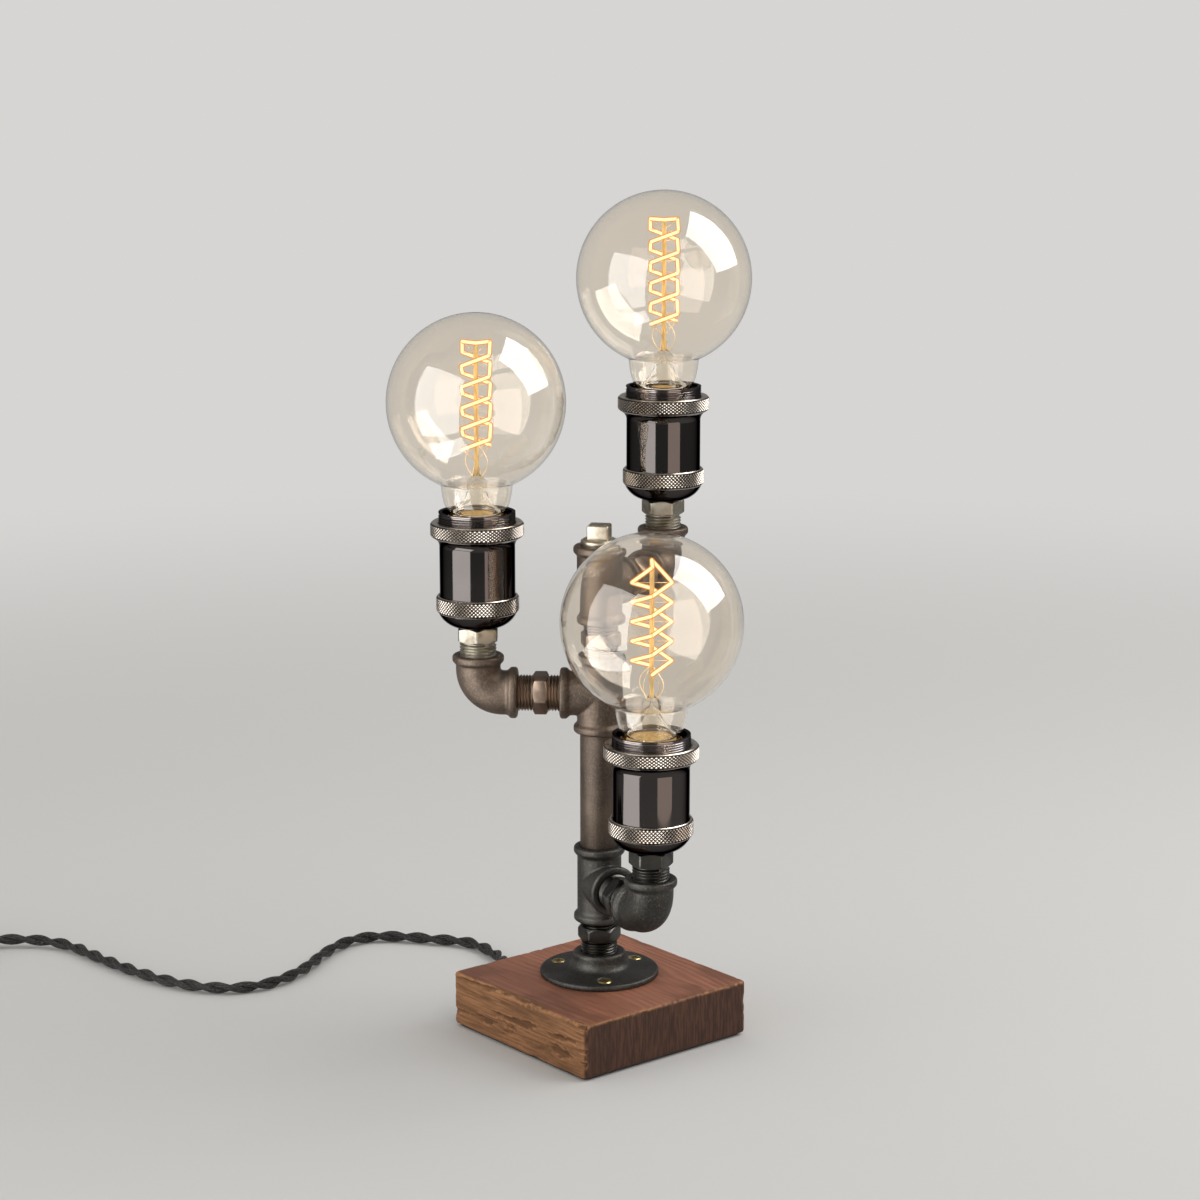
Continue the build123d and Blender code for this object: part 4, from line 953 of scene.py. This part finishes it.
class LAMP_OT_pipework(bpy.types.Operator):
    """Model the nipples, the riser pipe, the plug and the flange's screws"""

    bl_idname = "lamp.pipework"
    bl_label = "Screwed pipework"

    def execute(self, context):
        iron = context.scene.lamp_iron
        dark = machined_paint("dark_steel", shade(iron.dark, 1.25), shade(iron.dark, 0.5), 0.26)
        brown = machined_paint("brown_steel", shade(iron.brown, 2.1), shade(iron.brown, 0.8), 0.34)
        self.column(iron, dark, brown)
        self.plug()
        for level in LEVELS:
            self.arm(iron, level, dark if level == "lower" else brown)
        brass = machined_paint("screw_brass", tone(190, 172, 118), tone(112, 92, 58), 0.30)
        paint_nodes(brass, "flange_screws")
        return {"FINISHED"}

    def column(self, iron, dark, brown):
        """The pieces on the column's own axis."""
        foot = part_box("floor_flange")[1].z
        (lower_low, lower_high), (middle_low, middle_high), (upper_low, _) = (
            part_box(f"{level}_tee") for level in LEVELS)
        gap = (lower_low.z - foot) / MM
        lower = nipple(gap, before=5.4, turned_by=20.5, edge=0.9 * MM, corner=1.6)
        settle(lower, (0, 0, foot))
        dress(lower, "lower_nipple_steel", dark, "lower_nipple")
        gap = (upper_low.z - middle_high.z) / MM
        upper = nipple(gap, before=(gap - HEX_HEIGHT) / 2, turned_by=8.0, edge=iron.edge)
        settle(upper, (0, 0, middle_high.z))
        dress(upper, "upper_nipple_steel", brown, "upper_nipple")
        length = (middle_low.z - lower_high.z) / MM
        pipe = turned([(WATERWAY, -SCREWED_IN), (8.1, -SCREWED_IN), (8.3, -0.6), (PIPE_RADIUS, 0.3),
                       (PIPE_RADIUS, length - 0.3), (8.3, length + 0.6), (8.1, length + SCREWED_IN),
                       (WATERWAY, length + SCREWED_IN)], 128, hollow=True)
        settle(pipe, (0, 0, lower_high.z))
        rolled = iron_paint("rolled_pipe", shade(iron.brown, 0.78), iron.worn_and_highlit, 0.7, 0.0008)
        dress(pipe, "riser_pipe_steel", rolled, "riser_pipe")

    def plug(self):
        """The square-headed plug in the top tee."""
        body = turned([(7.0, -SCREWED_IN), (8.25, -SCREWED_IN + 0.8), (8.3, 0.9), (8.4, 1.1), (8.4, 2.1),
                       (7.2, 2.9), (2.0, 3.0)], 96, edge=0.15)
        across, height, foot = 9.8, 6.9, 2.5  # of the square head
        deselect()
        bpy.ops.mesh.primitive_cube_add(size=1, location=(0, 0, (foot + height / 2) * MM))
        head = bpy.context.object
        head.scale = Vector((across, across, height)) * MM
        bpy.ops.object.transform_apply(location=True, rotation=True, scale=True)
        modify(head, "BEVEL", width=0.9 * MM, segments=4, affect="EDGES")
        smooth_below(head, 40)
        settle(head, turn=Matrix.Rotation(radians(39.5), 3, "Z"))
        piece = settle(joined(body, head, thread(-2.0, 0.9)), (0, 0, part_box("upper_tee")[1].z))
        paint = machined_paint("plug_steel", tone(186, 178, 162), tone(112, 96, 80), 0.38)
        dress(piece, "square_head_plug", paint, "top_plug")

    def arm(self, iron, level, paint):
        """The nipple of an arm, between its tee and its elbow."""
        spot = holder_spot(level)
        flat = Vector((spot.x, spot.y, 0))
        outwards, reach = flat.normalized(), FITTING_REACH * MM
        along_arm = Matrix((UP, outwards.cross(UP), outwards)).transposed()
        piece = nipple(flat.length / MM - 2 * FITTING_REACH, before=5.2, turned_by=17.7, edge=iron.edge)
        settle(piece, outwards * reach + UP * (spot.z - reach), along_arm)
        dress(piece, f"{level}_arm_nipple_steel", paint, f"{level}_arm_nipple")


class LAMP_OT_holders(bpy.types.Operator):
    """Model the bulb holders: bushing, cup with knurled rim, mirror shell and shade ring"""

    bl_idname = "lamp.holders"
    bl_label = "Bulb holders"

    def execute(self, context):
        holder = context.scene.lamp_holder
        iron = context.scene.lamp_iron
        mirror = mirror_paint("black_chrome", holder.mirror)
        # The collar gets a lighter copy of the shell's black chrome: a painted highlight, the same finish
        # made lighter
        bright = mirror_paint("collar_chrome_painted_lighter", shade(holder.mirror, 2.8), 0.16)
        # The knurled rings' valleys are painted near black: painted shade between the diamonds
        gunmetal = knurled_paint("knurled_gunmetal", holder.knurl, shade(holder.knurl, 0.03))
        nickel = machined_paint("worn_nickel", holder.nickel, tone(104, 88, 70), 0.44)
        dark = machined_paint("dark_bushing", shade(iron.dark, 1.5), shade(iron.dark, 0.7), 0.34)
        cup, rim, shell, collar = self.cup(), self.rim(holder), self.shell(), self.collar()
        ring = self.ring(holder)
        for level, turned_by in zip(LEVELS, BUSHING_TURNS):
            spot = holder_spot(level)
            bushing = settle(self.bushing(iron, turned_by), spot)
            plated = dark if level == "lower" else nickel
            dress(bushing, f"{level}_bushing_hexagon", plated, f"{level}_holder_bushing")
            for form, name, paint, node, slot in (
                    (cup, "cup", mirror, "holder_cap", "black_chrome"),
                    (rim, "cup_knurl", gunmetal, "holder_cap", "gunmetal"),
                    (shell, "shell_mirror", mirror, "holder_shell", "black_chrome"),
                    (collar, "shell_collar", bright, "holder_shell", "black_chrome"),
                    (ring, "ring_knurl", gunmetal, "shade_ring", "gunmetal")):
                piece = settle(copied(form), spot)
                dress(piece, f"{level}_{name}", paint, f"{level}_{node}", slot=slot)
        for form in (cup, rim, shell, collar, ring):
            bpy.data.objects.remove(form)
        return {"FINISHED"}

    def bushing(self, iron, turned_by):
        """The hexagon bushing with the thread that goes into the elbow."""
        tube = shank(STUD_BORE, -SCREWED_IN, BUSHING_HEX_BOTTOM + 0.5)
        nut = hexagon(BUSHING_HEX_BOTTOM, turned_by, iron.edge)
        return joined(tube, nut, thread(-1.2, BUSHING_HEX_BOTTOM - 0.9))

    def cup(self):
        """The mirror-black bowl under the knurled rim."""
        bowl = arc_between((9.2, CAP_BOTTOM), (14.6, 15.4), (17.7, CAP_RIM_BOTTOM - 0.2), 14)
        return turned([(STUD_BORE, CAP_BOTTOM), (8.9, CAP_BOTTOM), *bowl, (17.9, CAP_RIM_BOTTOM + 0.4),
                       (15.5, CAP_RIM_BOTTOM + 0.4), (15.5, 19.5), (13.6, 19.5), (13.2, 16.6), (9.0, 14.4),
                       (STUD_BORE, 14.4)], 160, hollow=True)

    def rim(self, holder):
        """The knurled rim that takes the shell."""
        margin = 0.45
        low, high = CAP_RIM_BOTTOM + margin, CAP_RIM_TOP - margin
        face = CAP_RIM_RADIUS - holder.depth / MM
        piece = turned([(SHELL_RADIUS + 0.02, CAP_SHOULDER), (17.2, CAP_RIM_BOTTOM + 0.1),
                        (face - margin, CAP_RIM_BOTTOM), *rows_between(low, high, holder.rows, face),
                        (face - margin, CAP_RIM_TOP), (SHELL_RADIUS + 0.35, CAP_RIM_TOP),
                        (SHELL_RADIUS + 0.02, CAP_RIM_TOP - 0.3)], holder.columns, hollow=True)
        return raise_knurl(piece, face, low, high, holder)

    def shell(self):
        """The mirror-black shell with its flared shoulder."""
        flare = arc_between((SHELL_RADIUS, FLARE_BOTTOM), (17.7, 52.2), (FLARE_RADIUS, FLARE_TOP - 0.4), 14)
        return turned([(SHELL_BORE, CAP_SHOULDER), (SHELL_RADIUS, CAP_SHOULDER), *flare,
                       (FLARE_RADIUS - 0.1, FLARE_TOP - 0.1), (FLARE_RADIUS - 0.3, FLARE_TOP),
                       (16.7, FLARE_TOP), (SHELL_BORE, FLARE_TOP - 0.5)], 160, hollow=True)

    def collar(self):
        """The collar above the shoulder, with the fine thread for the shade ring."""
        foot = FLARE_TOP - 0.2
        body = turned([(COLLAR_BORE, foot), (COLLAR_ROOT, foot), (COLLAR_ROOT, COLLAR_TOP - 0.9),
                       (17.3, COLLAR_TOP - 0.55), (17.25, COLLAR_TOP - 0.1), (16.9, COLLAR_TOP),
                       (COLLAR_BORE + 0.3, COLLAR_TOP), (COLLAR_BORE, COLLAR_TOP - 0.3)], 128, hollow=True)
        ridges = thread(FLARE_TOP + 0.6, COLLAR_TOP - 1.3, COLLAR_RADIUS, COLLAR_ROOT - 0.05, 1.05, 96)
        return joined(body, ridges)

    def ring(self, holder):
        """The knurled ring that clamps a shade."""
        bottom, top = FLARE_TOP, FLARE_TOP + RING_HEIGHT
        low, high = bottom + 0.55, top - 0.55
        face = RING_RADIUS - holder.depth / MM
        piece = turned([(RING_BORE, bottom), (face - 0.6, bottom),
                        *rows_between(low, high, holder.rows, face), (face - 0.6, top),
                        (RING_BORE + 0.9, top), (RING_BORE, top - 0.6)], holder.columns, hollow=True)
        return raise_knurl(piece, face, low, high, holder)


class LAMP_OT_bulbs(bpy.types.Operator):
    """Model the globe bulbs: blown glass, stem, wire supports and the caged filament"""

    bl_idname = "lamp.bulbs"
    bl_label = "Globe bulbs"

    def execute(self, context):
        bulb = context.scene.lamp_bulb
        glass = glass_paint("amber_glass", bulb.glass, 1.41)
        clear = glass_paint("stem_glass", (0.97, 0.95, 0.90), 1.18)
        # Rod, supports and the cap's floor are given a painted golden glow in place of the filament's light
        golden = (1.0, 0.62, 0.20)
        wire_painted_glow = painted_glow_paint("support_wire_painted_glow", tone(200, 180, 150), golden, 0.55, 1.0)
        rod_painted_glow = painted_glow_paint("rod_glass_painted_glow", tone(220, 196, 140), golden, 0.60)
        brass_painted_glow = painted_glow_paint("cap_brass_painted_glow", tone(214, 186, 120), golden, 0.42)
        hot = glowing_paint("hot_filament", bulb.glow, bulb.strength)
        halo = halo_paint("filament_halo", (1.0, 0.34, 0.05), 0.52)
        rows = (
            ("glass_rod", rod_painted_glow, "mount", "stem_glass"),
            ("glass_globe", glass, "globe", "bulb_glass"),
            ("glass_stem", clear, "mount", "stem_glass"),
            ("cap_seat", brass_painted_glow, "mount", "contact_brass"),
            ("wire_supports", wire_painted_glow, "mount", "stem_glass"),
            ("hot_wire", hot, "filament", "filament_wire"),
            ("wire_glare", halo, "filament", "filament_wire"),
        )
        forms = self.rod(), self.globe(), self.stem(), self.seat()
        for level in LEVELS:
            bends = [self.rounded_corners(self.cage_bends(level))]
            pieces = [copied(form) for form in forms]
            pieces.append(wire(self.support_lines(level), SUPPORT_RADIUS * MM, 1))
            pieces.append(wire(bends, bulb.wire, 2, rounded=True))
            pieces.append(wire(bends, bulb.wire + GLARE * MM, 2, rounded=True))
            for piece, (name, paint, node, slot) in zip(pieces, rows):
                settle(piece, holder_spot(level))
                dress(piece, f"{level}_{name}", paint, f"{level}_{node}", slot=slot)
        for form in forms:
            bpy.data.objects.remove(form)
        return {"FINISHED"}

    def wall(self, inset):
        """The glass's outline from the crown down to the foot, set in from the outside."""
        radius = BULB_RADIUS - inset
        neck, foot = NECK_TOP_RADIUS - inset, NECK_FOOT_RADIUS - inset
        steps = 46
        crown = 0.35  # radius of the small face at the top
        fold = 0.35  # how far out of the neck the ball ends
        first, last = crown / radius, pi - asin((neck + fold) / radius)
        angles = [first + (last - first) * step / steps for step in range(steps + 1)]
        ball = [(radius * sin(angle), BULB_CENTRE + radius * cos(angle)) for angle in angles]
        end = ball[-1][1]
        throat = arc_between((neck, end - 1.6), (neck - 0.9, 70.5), (foot, 64.5), 10)
        return [*ball, (neck + 0.12, end - 0.7), *throat, (foot, NECK_FOOT)]

    def globe(self):
        """The blown globe with its neck."""
        return turned([*self.wall(0.0), *reversed(self.wall(GLASS_WALL))], 128, smooth=60)

    def stem(self):
        """The glass stem: flare, tube and pinched press."""
        outside = [(11.2, 64.6), (11.2, 65.6), (8.9, 67.2), (6.4, 69.6), (5.0, 72.4), (4.3, 75.4),
                   (4.2, 77.2), (4.3, 78.8), (3.7, 80.2), (2.4, 81.2), (1.5, 82.0), (1.2, 82.8)]
        inside = [(0.3, 82.8), (0.3, 77.6), (2.2, 77.2), (3.1, 75.4), (3.8, 72.4), (5.0, 70.2),
                  (7.8, 67.3), (10.2, 64.9)]
        stem = turned([*outside, *inside], 64, hollow=True, smooth=60)
        return modify(stem, "SUBSURF", levels=1, render_levels=1)

    def rod(self):
        """The glass rod that carries the wire supports."""
        return turned([(0.3, 81.6), (1.05, 81.6), (1.05, STEM_ROD_TOP - 0.6), (0.5, STEM_ROD_TOP)], 24)

    def seat(self):
        """The pale floor of the cap, on which the stem's flare sits."""
        return turned([(0.5, 62.6), (10.9, 62.6), (11.0, 63.4), (10.2, 63.7), (6.0, 63.9), (0.5, 64.0)], 64)

    def cage_corner(self, level, quarters, height):
        """A bend of the filament, from the bulb's own axis, millimetres."""
        return direction(CAGES[level][0] + 90 * quarters) * CAGE_RADIUS + UP * height

    def cage_strands(self, level):
        """The bends of both strands from foot to last even step."""
        _, foot, last, _ = CAGES[level]
        rise = (last - foot) / CAGE_STEPS
        return [[self.cage_corner(level, start + step, foot + rise * step)
                 for step in range(CAGE_STEPS + 1)] for start in (0, 2)]

    def cage_horns(self, level):
        """The two upper ends of the cage."""
        return [self.cage_corner(level, quarters, CAGE_TOP)
                for quarters in (CAGE_STEPS + 1, CAGES[level][3])]

    def cage_bends(self, level):
        """All bends of the wire: up one strand, over the rod's tip and down the other."""
        rising, falling = self.cage_strands(level)
        first, second = self.cage_horns(level)
        return [*rising, first, UP * CAGE_TOP, second, *reversed(falling)]

    def rounded_corners(self, corners):
        """Control points that keep the runs straight and round each corner a little, metres."""
        points = [corners[0]]
        for before, after in zip(corners, corners[1:]):
            points += [before.lerp(after, 0.10), before.lerp(after, 0.90), after]
        return [point * MM for point in points]

    def support_lines(self, level):
        """Radial wires with a hook round the filament, and bowed wires from the press, metres."""
        horns = self.cage_horns(level)
        strands = self.cage_strands(level)
        hook = [pi + tau * 0.8 * step / 8 for step in range(9)]  # four fifths of a turn
        lines = []
        for corner in (*strands[0], *strands[1], *horns):
            root = UP * (corner.z - HORN_SUPPORT_DROP if corner in horns else corner.z)
            outwards = (corner - root).normalized()
            lines.append([root, *(corner + (outwards * cos(turn) + UP * sin(turn)) * HOOK_RADIUS
                                  for turn in hook)])
        for strand, side in zip(strands, (1, -1)):
            lines.append(self.bow(Vector((2.2 * side, 0, 80.0)), strand[0], 3.4))
        tip = UP * (strands[0][0].z + 1.5)
        for azimuth in (100, 280):
            across = direction(azimuth)
            lines.append(self.bow(across * 2.0 + UP * 80.5, across * 1.2 + tip, 5.2))
        return [[point * MM for point in line] for line in lines]

    def bow(self, foot, tip, swing):
        """A wire that bows outwards between two points, millimetres."""
        outwards = Vector((foot.x, foot.y, 0)).normalized()
        shares = [step / 12 for step in range(13)]
        return [foot.lerp(tip, share) + outwards * swing * sin(pi * share) for share in shares]


class LAMP_OT_lead(bpy.types.Operator):
    """Model the twisted textile lead on its route, with switch, coil and plug"""

    bl_idname = "lamp.lead"
    bl_label = "Mains lead"

    def execute(self, context):
        lead = context.scene.lamp_lead
        black = moulded_paint("black_plastic", (0.012, 0.012, 0.012), 0.30)
        paint_nodes(black, "switch_housing", "switch_rocker", "plug_body")
        paint_nodes(moulded_paint("black_rubber", (0.018, 0.018, 0.018), 0.62), "strain_relief")
        pin = machined_paint("plated_pin", tone(214, 208, 190), tone(150, 140, 120), 0.2)
        paint_nodes(pin, "plug_pins")
        to_switch, first = self.twisted(LAMP_ROUTE, lead, "lead_lamp_to_switch", "mains_lead")
        to_plug, second = self.twisted([*COIL_ROUTE, *self.coil(), *PLUG_ROUTE], lead,
                                       "lead_switch_to_plug", "mains_lead", "lead_coil")
        return {"FINISHED"}

    def coil(self):
        """The coil's turns: four side by side on the table, the rest on top of them."""
        points = []
        following = (*COIL_TURNS[1:], COIL_TURNS[-1])
        for number, (radius, next_radius) in enumerate(zip(COIL_TURNS, following)):
            last = number == len(COIL_TURNS) - 1
            angle = 0.0
            while angle < (COIL_LAST_ARC + 1 if last else 360.0):
                share = max(0.0, (angle - 360 + COIL_CROSSING) / COIL_CROSSING)
                ease = share * share * (3 - 2 * share)
                climb = ease if number == COIL_FLOOR_TURNS - 1 else float(number >= COIL_FLOOR_TURNS)
                reach = radius + (next_radius - radius) * ease
                azimuth = radians(COIL_START + angle)
                points.append((COIL_CENTRE[0] + reach * cos(azimuth),
                               COIL_CENTRE[1] + reach * sin(azimuth), CORD_RADIUS * (1 + 2 * climb)))
                angle += COIL_STEP
        return points

    def centreline(self, route):
        """The points of a smooth spline along the route."""
        holder = curve_through([route], True, 12)
        bpy.context.view_layer.update()
        line = bpy.data.meshes.new_from_object(holder)
        points = [point.co.copy() for point in line.vertices]
        bpy.data.objects.remove(holder)
        bpy.data.meshes.remove(line)
        return points

    def twisted(self, route, lead, name, *nodes):
        """Two strands wound round each other along the route, and the line they follow."""
        line = self.centreline(route)
        strands = ([], [])
        travelled = 0.0
        sideways = (line[1] - line[0]).cross(UP)
        inside = 0.985  # keeps the pair within the lead's outside size
        for before, spot, after in zip([line[0], *line], line, [*line[1:], line[-1]]):
            heading = (after - before).normalized()
            sideways = (sideways - heading * sideways.dot(heading)).normalized()
            travelled += (spot - before).length
            turn = tau * travelled / lead.twist
            offset = sideways * cos(turn) + heading.cross(sideways) * sin(turn)
            offset *= (CORD_RADIUS - lead.strand) * inside
            strands[0].append(spot + offset)
            strands[1].append(spot - offset)
        paint = textile_paint(f"{name}_braid", lead.textile, YARNS, round(travelled / DIAMOND))
        piece = wire(strands, lead.strand, 3)
        return dress(piece, name, paint, *nodes), line


class LAMP_OT_inside(bpy.types.Operator):
    """Finish the pieces that mostly hide inside the lamp"""

    bl_idname = "lamp.inside"
    bl_label = "Inner pieces"

    def execute(self, context):
        porcelain = moulded_paint("glazed_porcelain", tone(232, 226, 212), 0.16, 0.004, 0.01)
        brass = machined_paint("contact_brass", tone(214, 178, 96), tone(140, 104, 58), 0.26)
        insulator = moulded_paint("black_glass_insulator", (0.01, 0.01, 0.012), 0.1, 0.003, 0.01)
        for level in LEVELS:
            paint_nodes(porcelain, f"{level}_holder_core")
            paint_nodes(brass, f"{level}_bulb_cap")
            paint_nodes(insulator, f"{level}_bulb_tip")
        paint_nodes(brass, "thread_sleeves", "centre_contacts", "holder_studs")
        paint_nodes(moulded_paint("lead_sleeving", (0.02, 0.02, 0.02), 0.55), "inner_leads")
        paint_nodes(moulded_paint("terminal_plastic", tone(226, 220, 204), 0.45), "terminal_block")
        return {"FINISHED"}


class LAMP_OT_stage(bpy.types.Operator):
    """Set the pale floor, the soft lights and the camera"""

    bl_idname = "lamp.stage"
    bl_label = "Stage and camera"

    def execute(self, context):
        stage = context.scene.lamp_stage
        self.floor(stage)
        self.world(stage)
        self.softbox("key_right", 94.0, 40.0, 1.0, (0.81, 1.02), light=2.0, shine=(9.0, 9.0, 9.0))
        self.softbox("fill_left", -62.0, 14.0, 1.0, (0.80, 0.80), light=0.8)
        cool = (6.0, 5.9, 5.8)
        self.softbox("panel_left", -52.0, 9.0, 0.42, (0.46, 0.58), shine=cool)
        self.softbox("panel_low", -52.0, -38.0, 0.31, (0.26, 0.12), shine=cool)
        self.softbox("panel_right", 38.0, 0.0, 0.42, (0.31, 0.46), shine=(3.1, 2.6, 2.3))
        self.camera()
        context.scene.view_settings.view_transform = "Standard"
        return {"FINISHED"}

    def floor(self, stage):
        """A round floor that fades into the backdrop's colour away from the lamp."""
        deselect()
        bpy.ops.mesh.primitive_circle_add(vertices=96, radius=FLOOR_RADIUS, fill_type="NGON",
                                          location=(0, 0, -FLOOR_DROP))
        floor = bpy.context.object
        floor.name = "floor"
        paint = Paint("pale_floor", Base_Color=stage.floor, Roughness=1.0, Specular_IOR_Level=0.0)
        plain, mirrored = self.seen(paint)
        glow = paint.node("ShaderNodeEmission", {}, {
            "Color": stage.floor, "Strength": plain + mirrored * stage.mirrored})
        x, y = paint.axis("X"), paint.axis("Y")
        away = paint.between(paint.maths("SQRT", x * x + y * y), *FADE)
        paint.show(away * (plain + mirrored), Wire(paint, paint.shader.outputs[0]), glow)
        floor.data.materials.append(paint.material)

    def seen(self, tree):
        """1 for rays that show the backdrop plainly, and 1 for those that show it mirrored."""
        camera, glossy, through = (tree.node("ShaderNodeLightPath", {}, {}, kind) for kind in
                                   ("Is Camera Ray", "Is Glossy Ray", "Is Transmission Ray"))
        plain = tree.maths("MINIMUM", camera + through, 1.0)
        return plain, glossy * (1 - plain)

    def world(self, stage):
        """An even pale surrounding that lights the lamp softly."""
        world = bpy.data.worlds.new("pale_studio")
        bpy.context.scene.world = world
        world.use_nodes = True
        tree = Tree(world.node_tree)
        background = tree.nodes["Background"].inputs
        tree.connect(background["Color"], stage.floor)
        plain, mirrored = self.seen(tree)
        strength = plain * (1 - stage.ambient) + mirrored * (stage.mirrored - stage.ambient)
        tree.connect(background["Strength"], strength + stage.ambient)

    def softbox(self, name, side, raised, distance, size, light=0.0, shine=None):
        """An area light, or the card that metal and glass see in its place, or both.

        side is degrees to the right of the camera's direction from the lamp, raised is degrees up,
        and distance and size are metres.
        """
        outwards = direction(CAMERA_AZIMUTH + 180 + side, raised)
        spot = LAMP_MIDDLE + outwards * distance
        facing = (-outwards).to_track_quat("-Z", "Y").to_matrix()
        if light:
            data = bpy.data.lights.new(name, "AREA")
            data.shape = "RECTANGLE"
            data.size, data.size_y = size
            data.energy = light * pi * size[0] * size[1]
            lamp = placed(name, data)
            lamp.matrix_world = Matrix.Translation(spot) @ facing.to_4x4()
            lamp.visible_glossy = lamp.visible_transmission = lamp.visible_camera = False
        if shine:
            self.card(name, spot + outwards * 0.01, facing, size, shine)

    def card(self, name, spot, facing, size, shine):
        """A glowing card that is seen only mirrored, in metal or in a wall of glass, never through it."""
        deselect()
        bpy.ops.mesh.primitive_plane_add(size=1)
        card = bpy.context.object
        card.name = f"{name}_card"
        card.scale = (*size, 1)
        bpy.ops.object.transform_apply(scale=True)
        settle(card, spot, facing)
        paint = Paint(f"{name}_shine")
        glow = paint.node("ShaderNodeEmission", {}, {"Color": shine, "Strength": 1.0})
        clear = paint.node("ShaderNodeBsdfTransparent", {}, {})
        depth = paint.node("ShaderNodeLightPath", {}, {}, "Glossy Depth")
        paint.show(paint.maths("GREATER_THAN", depth, 0.5), clear, glow)
        card.data.materials.append(paint.material)
        card.visible_camera = card.visible_diffuse = card.visible_shadow = False

    def camera(self):
        """The camera, level and without shift."""
        data = bpy.data.cameras.new("camera")
        data.angle = radians(CAMERA_FIELD)
        camera = placed("camera", data)
        camera.location = CAMERA_SPOT
        heading = direction(CAMERA_AZIMUTH, CAMERA_PITCH)
        camera.rotation_euler = heading.to_track_quat("-Z", "Y").to_euler()
        bpy.context.scene.camera = camera


class LAMP_PT_panel(bpy.types.Panel):
    """Lists the lamp's operators and settings"""

    bl_idname = "LAMP_PT_panel"
    bl_label = "Pipe Lamp"
    bl_space_type = "VIEW_3D"
    bl_region_type = "UI"
    bl_category = "Pipe Lamp"

    def draw(self, context):
        for operator, settings in STEPS:
            box = self.layout.box()
            box.operator(operator.bl_idname)
            if settings:
                group = getattr(context.scene, settings)
                for name in group.bl_rna.properties.keys():
                    if name not in ("rna_type", "name"):
                        box.prop(group, name)


SETTINGS = {
    "lamp_wood": WoodSettings,
    "lamp_iron": IronSettings,
    "lamp_holder": HolderSettings,
    "lamp_bulb": BulbSettings,
    "lamp_lead": LeadSettings,
    "lamp_stage": StageSettings,
}
STEPS = (
    (LAMP_OT_stage, "lamp_stage"),
    (LAMP_OT_lead, "lamp_lead"),
    (LAMP_OT_base, "lamp_wood"),
    (LAMP_OT_castings, "lamp_iron"),
    (LAMP_OT_pipework, None),
    (LAMP_OT_holders, "lamp_holder"),
    (LAMP_OT_bulbs, "lamp_bulb"),
    (LAMP_OT_inside, None),
)


def register():
    """Registers the settings, operators and panel."""
    for name, group in SETTINGS.items():
        bpy.utils.register_class(group)
        setattr(bpy.types.Scene, name, PointerProperty(type=group))
    for operator, _ in STEPS:
        bpy.utils.register_class(operator)
    bpy.utils.register_class(LAMP_PT_panel)


def unregister():
    """Takes them away again."""
    bpy.utils.unregister_class(LAMP_PT_panel)
    for operator, _ in reversed(STEPS):
        bpy.utils.unregister_class(operator)
    for name, group in reversed(SETTINGS.items()):
        delattr(bpy.types.Scene, name)
        bpy.utils.unregister_class(group)


def main():
    """Makes the whole lamp."""
    register()
    for operator, _ in STEPS:
        family, name = operator.bl_idname.split(".")
        getattr(getattr(bpy.ops, family), name)()
    deselect()


if __name__ == "__main__":
    main()
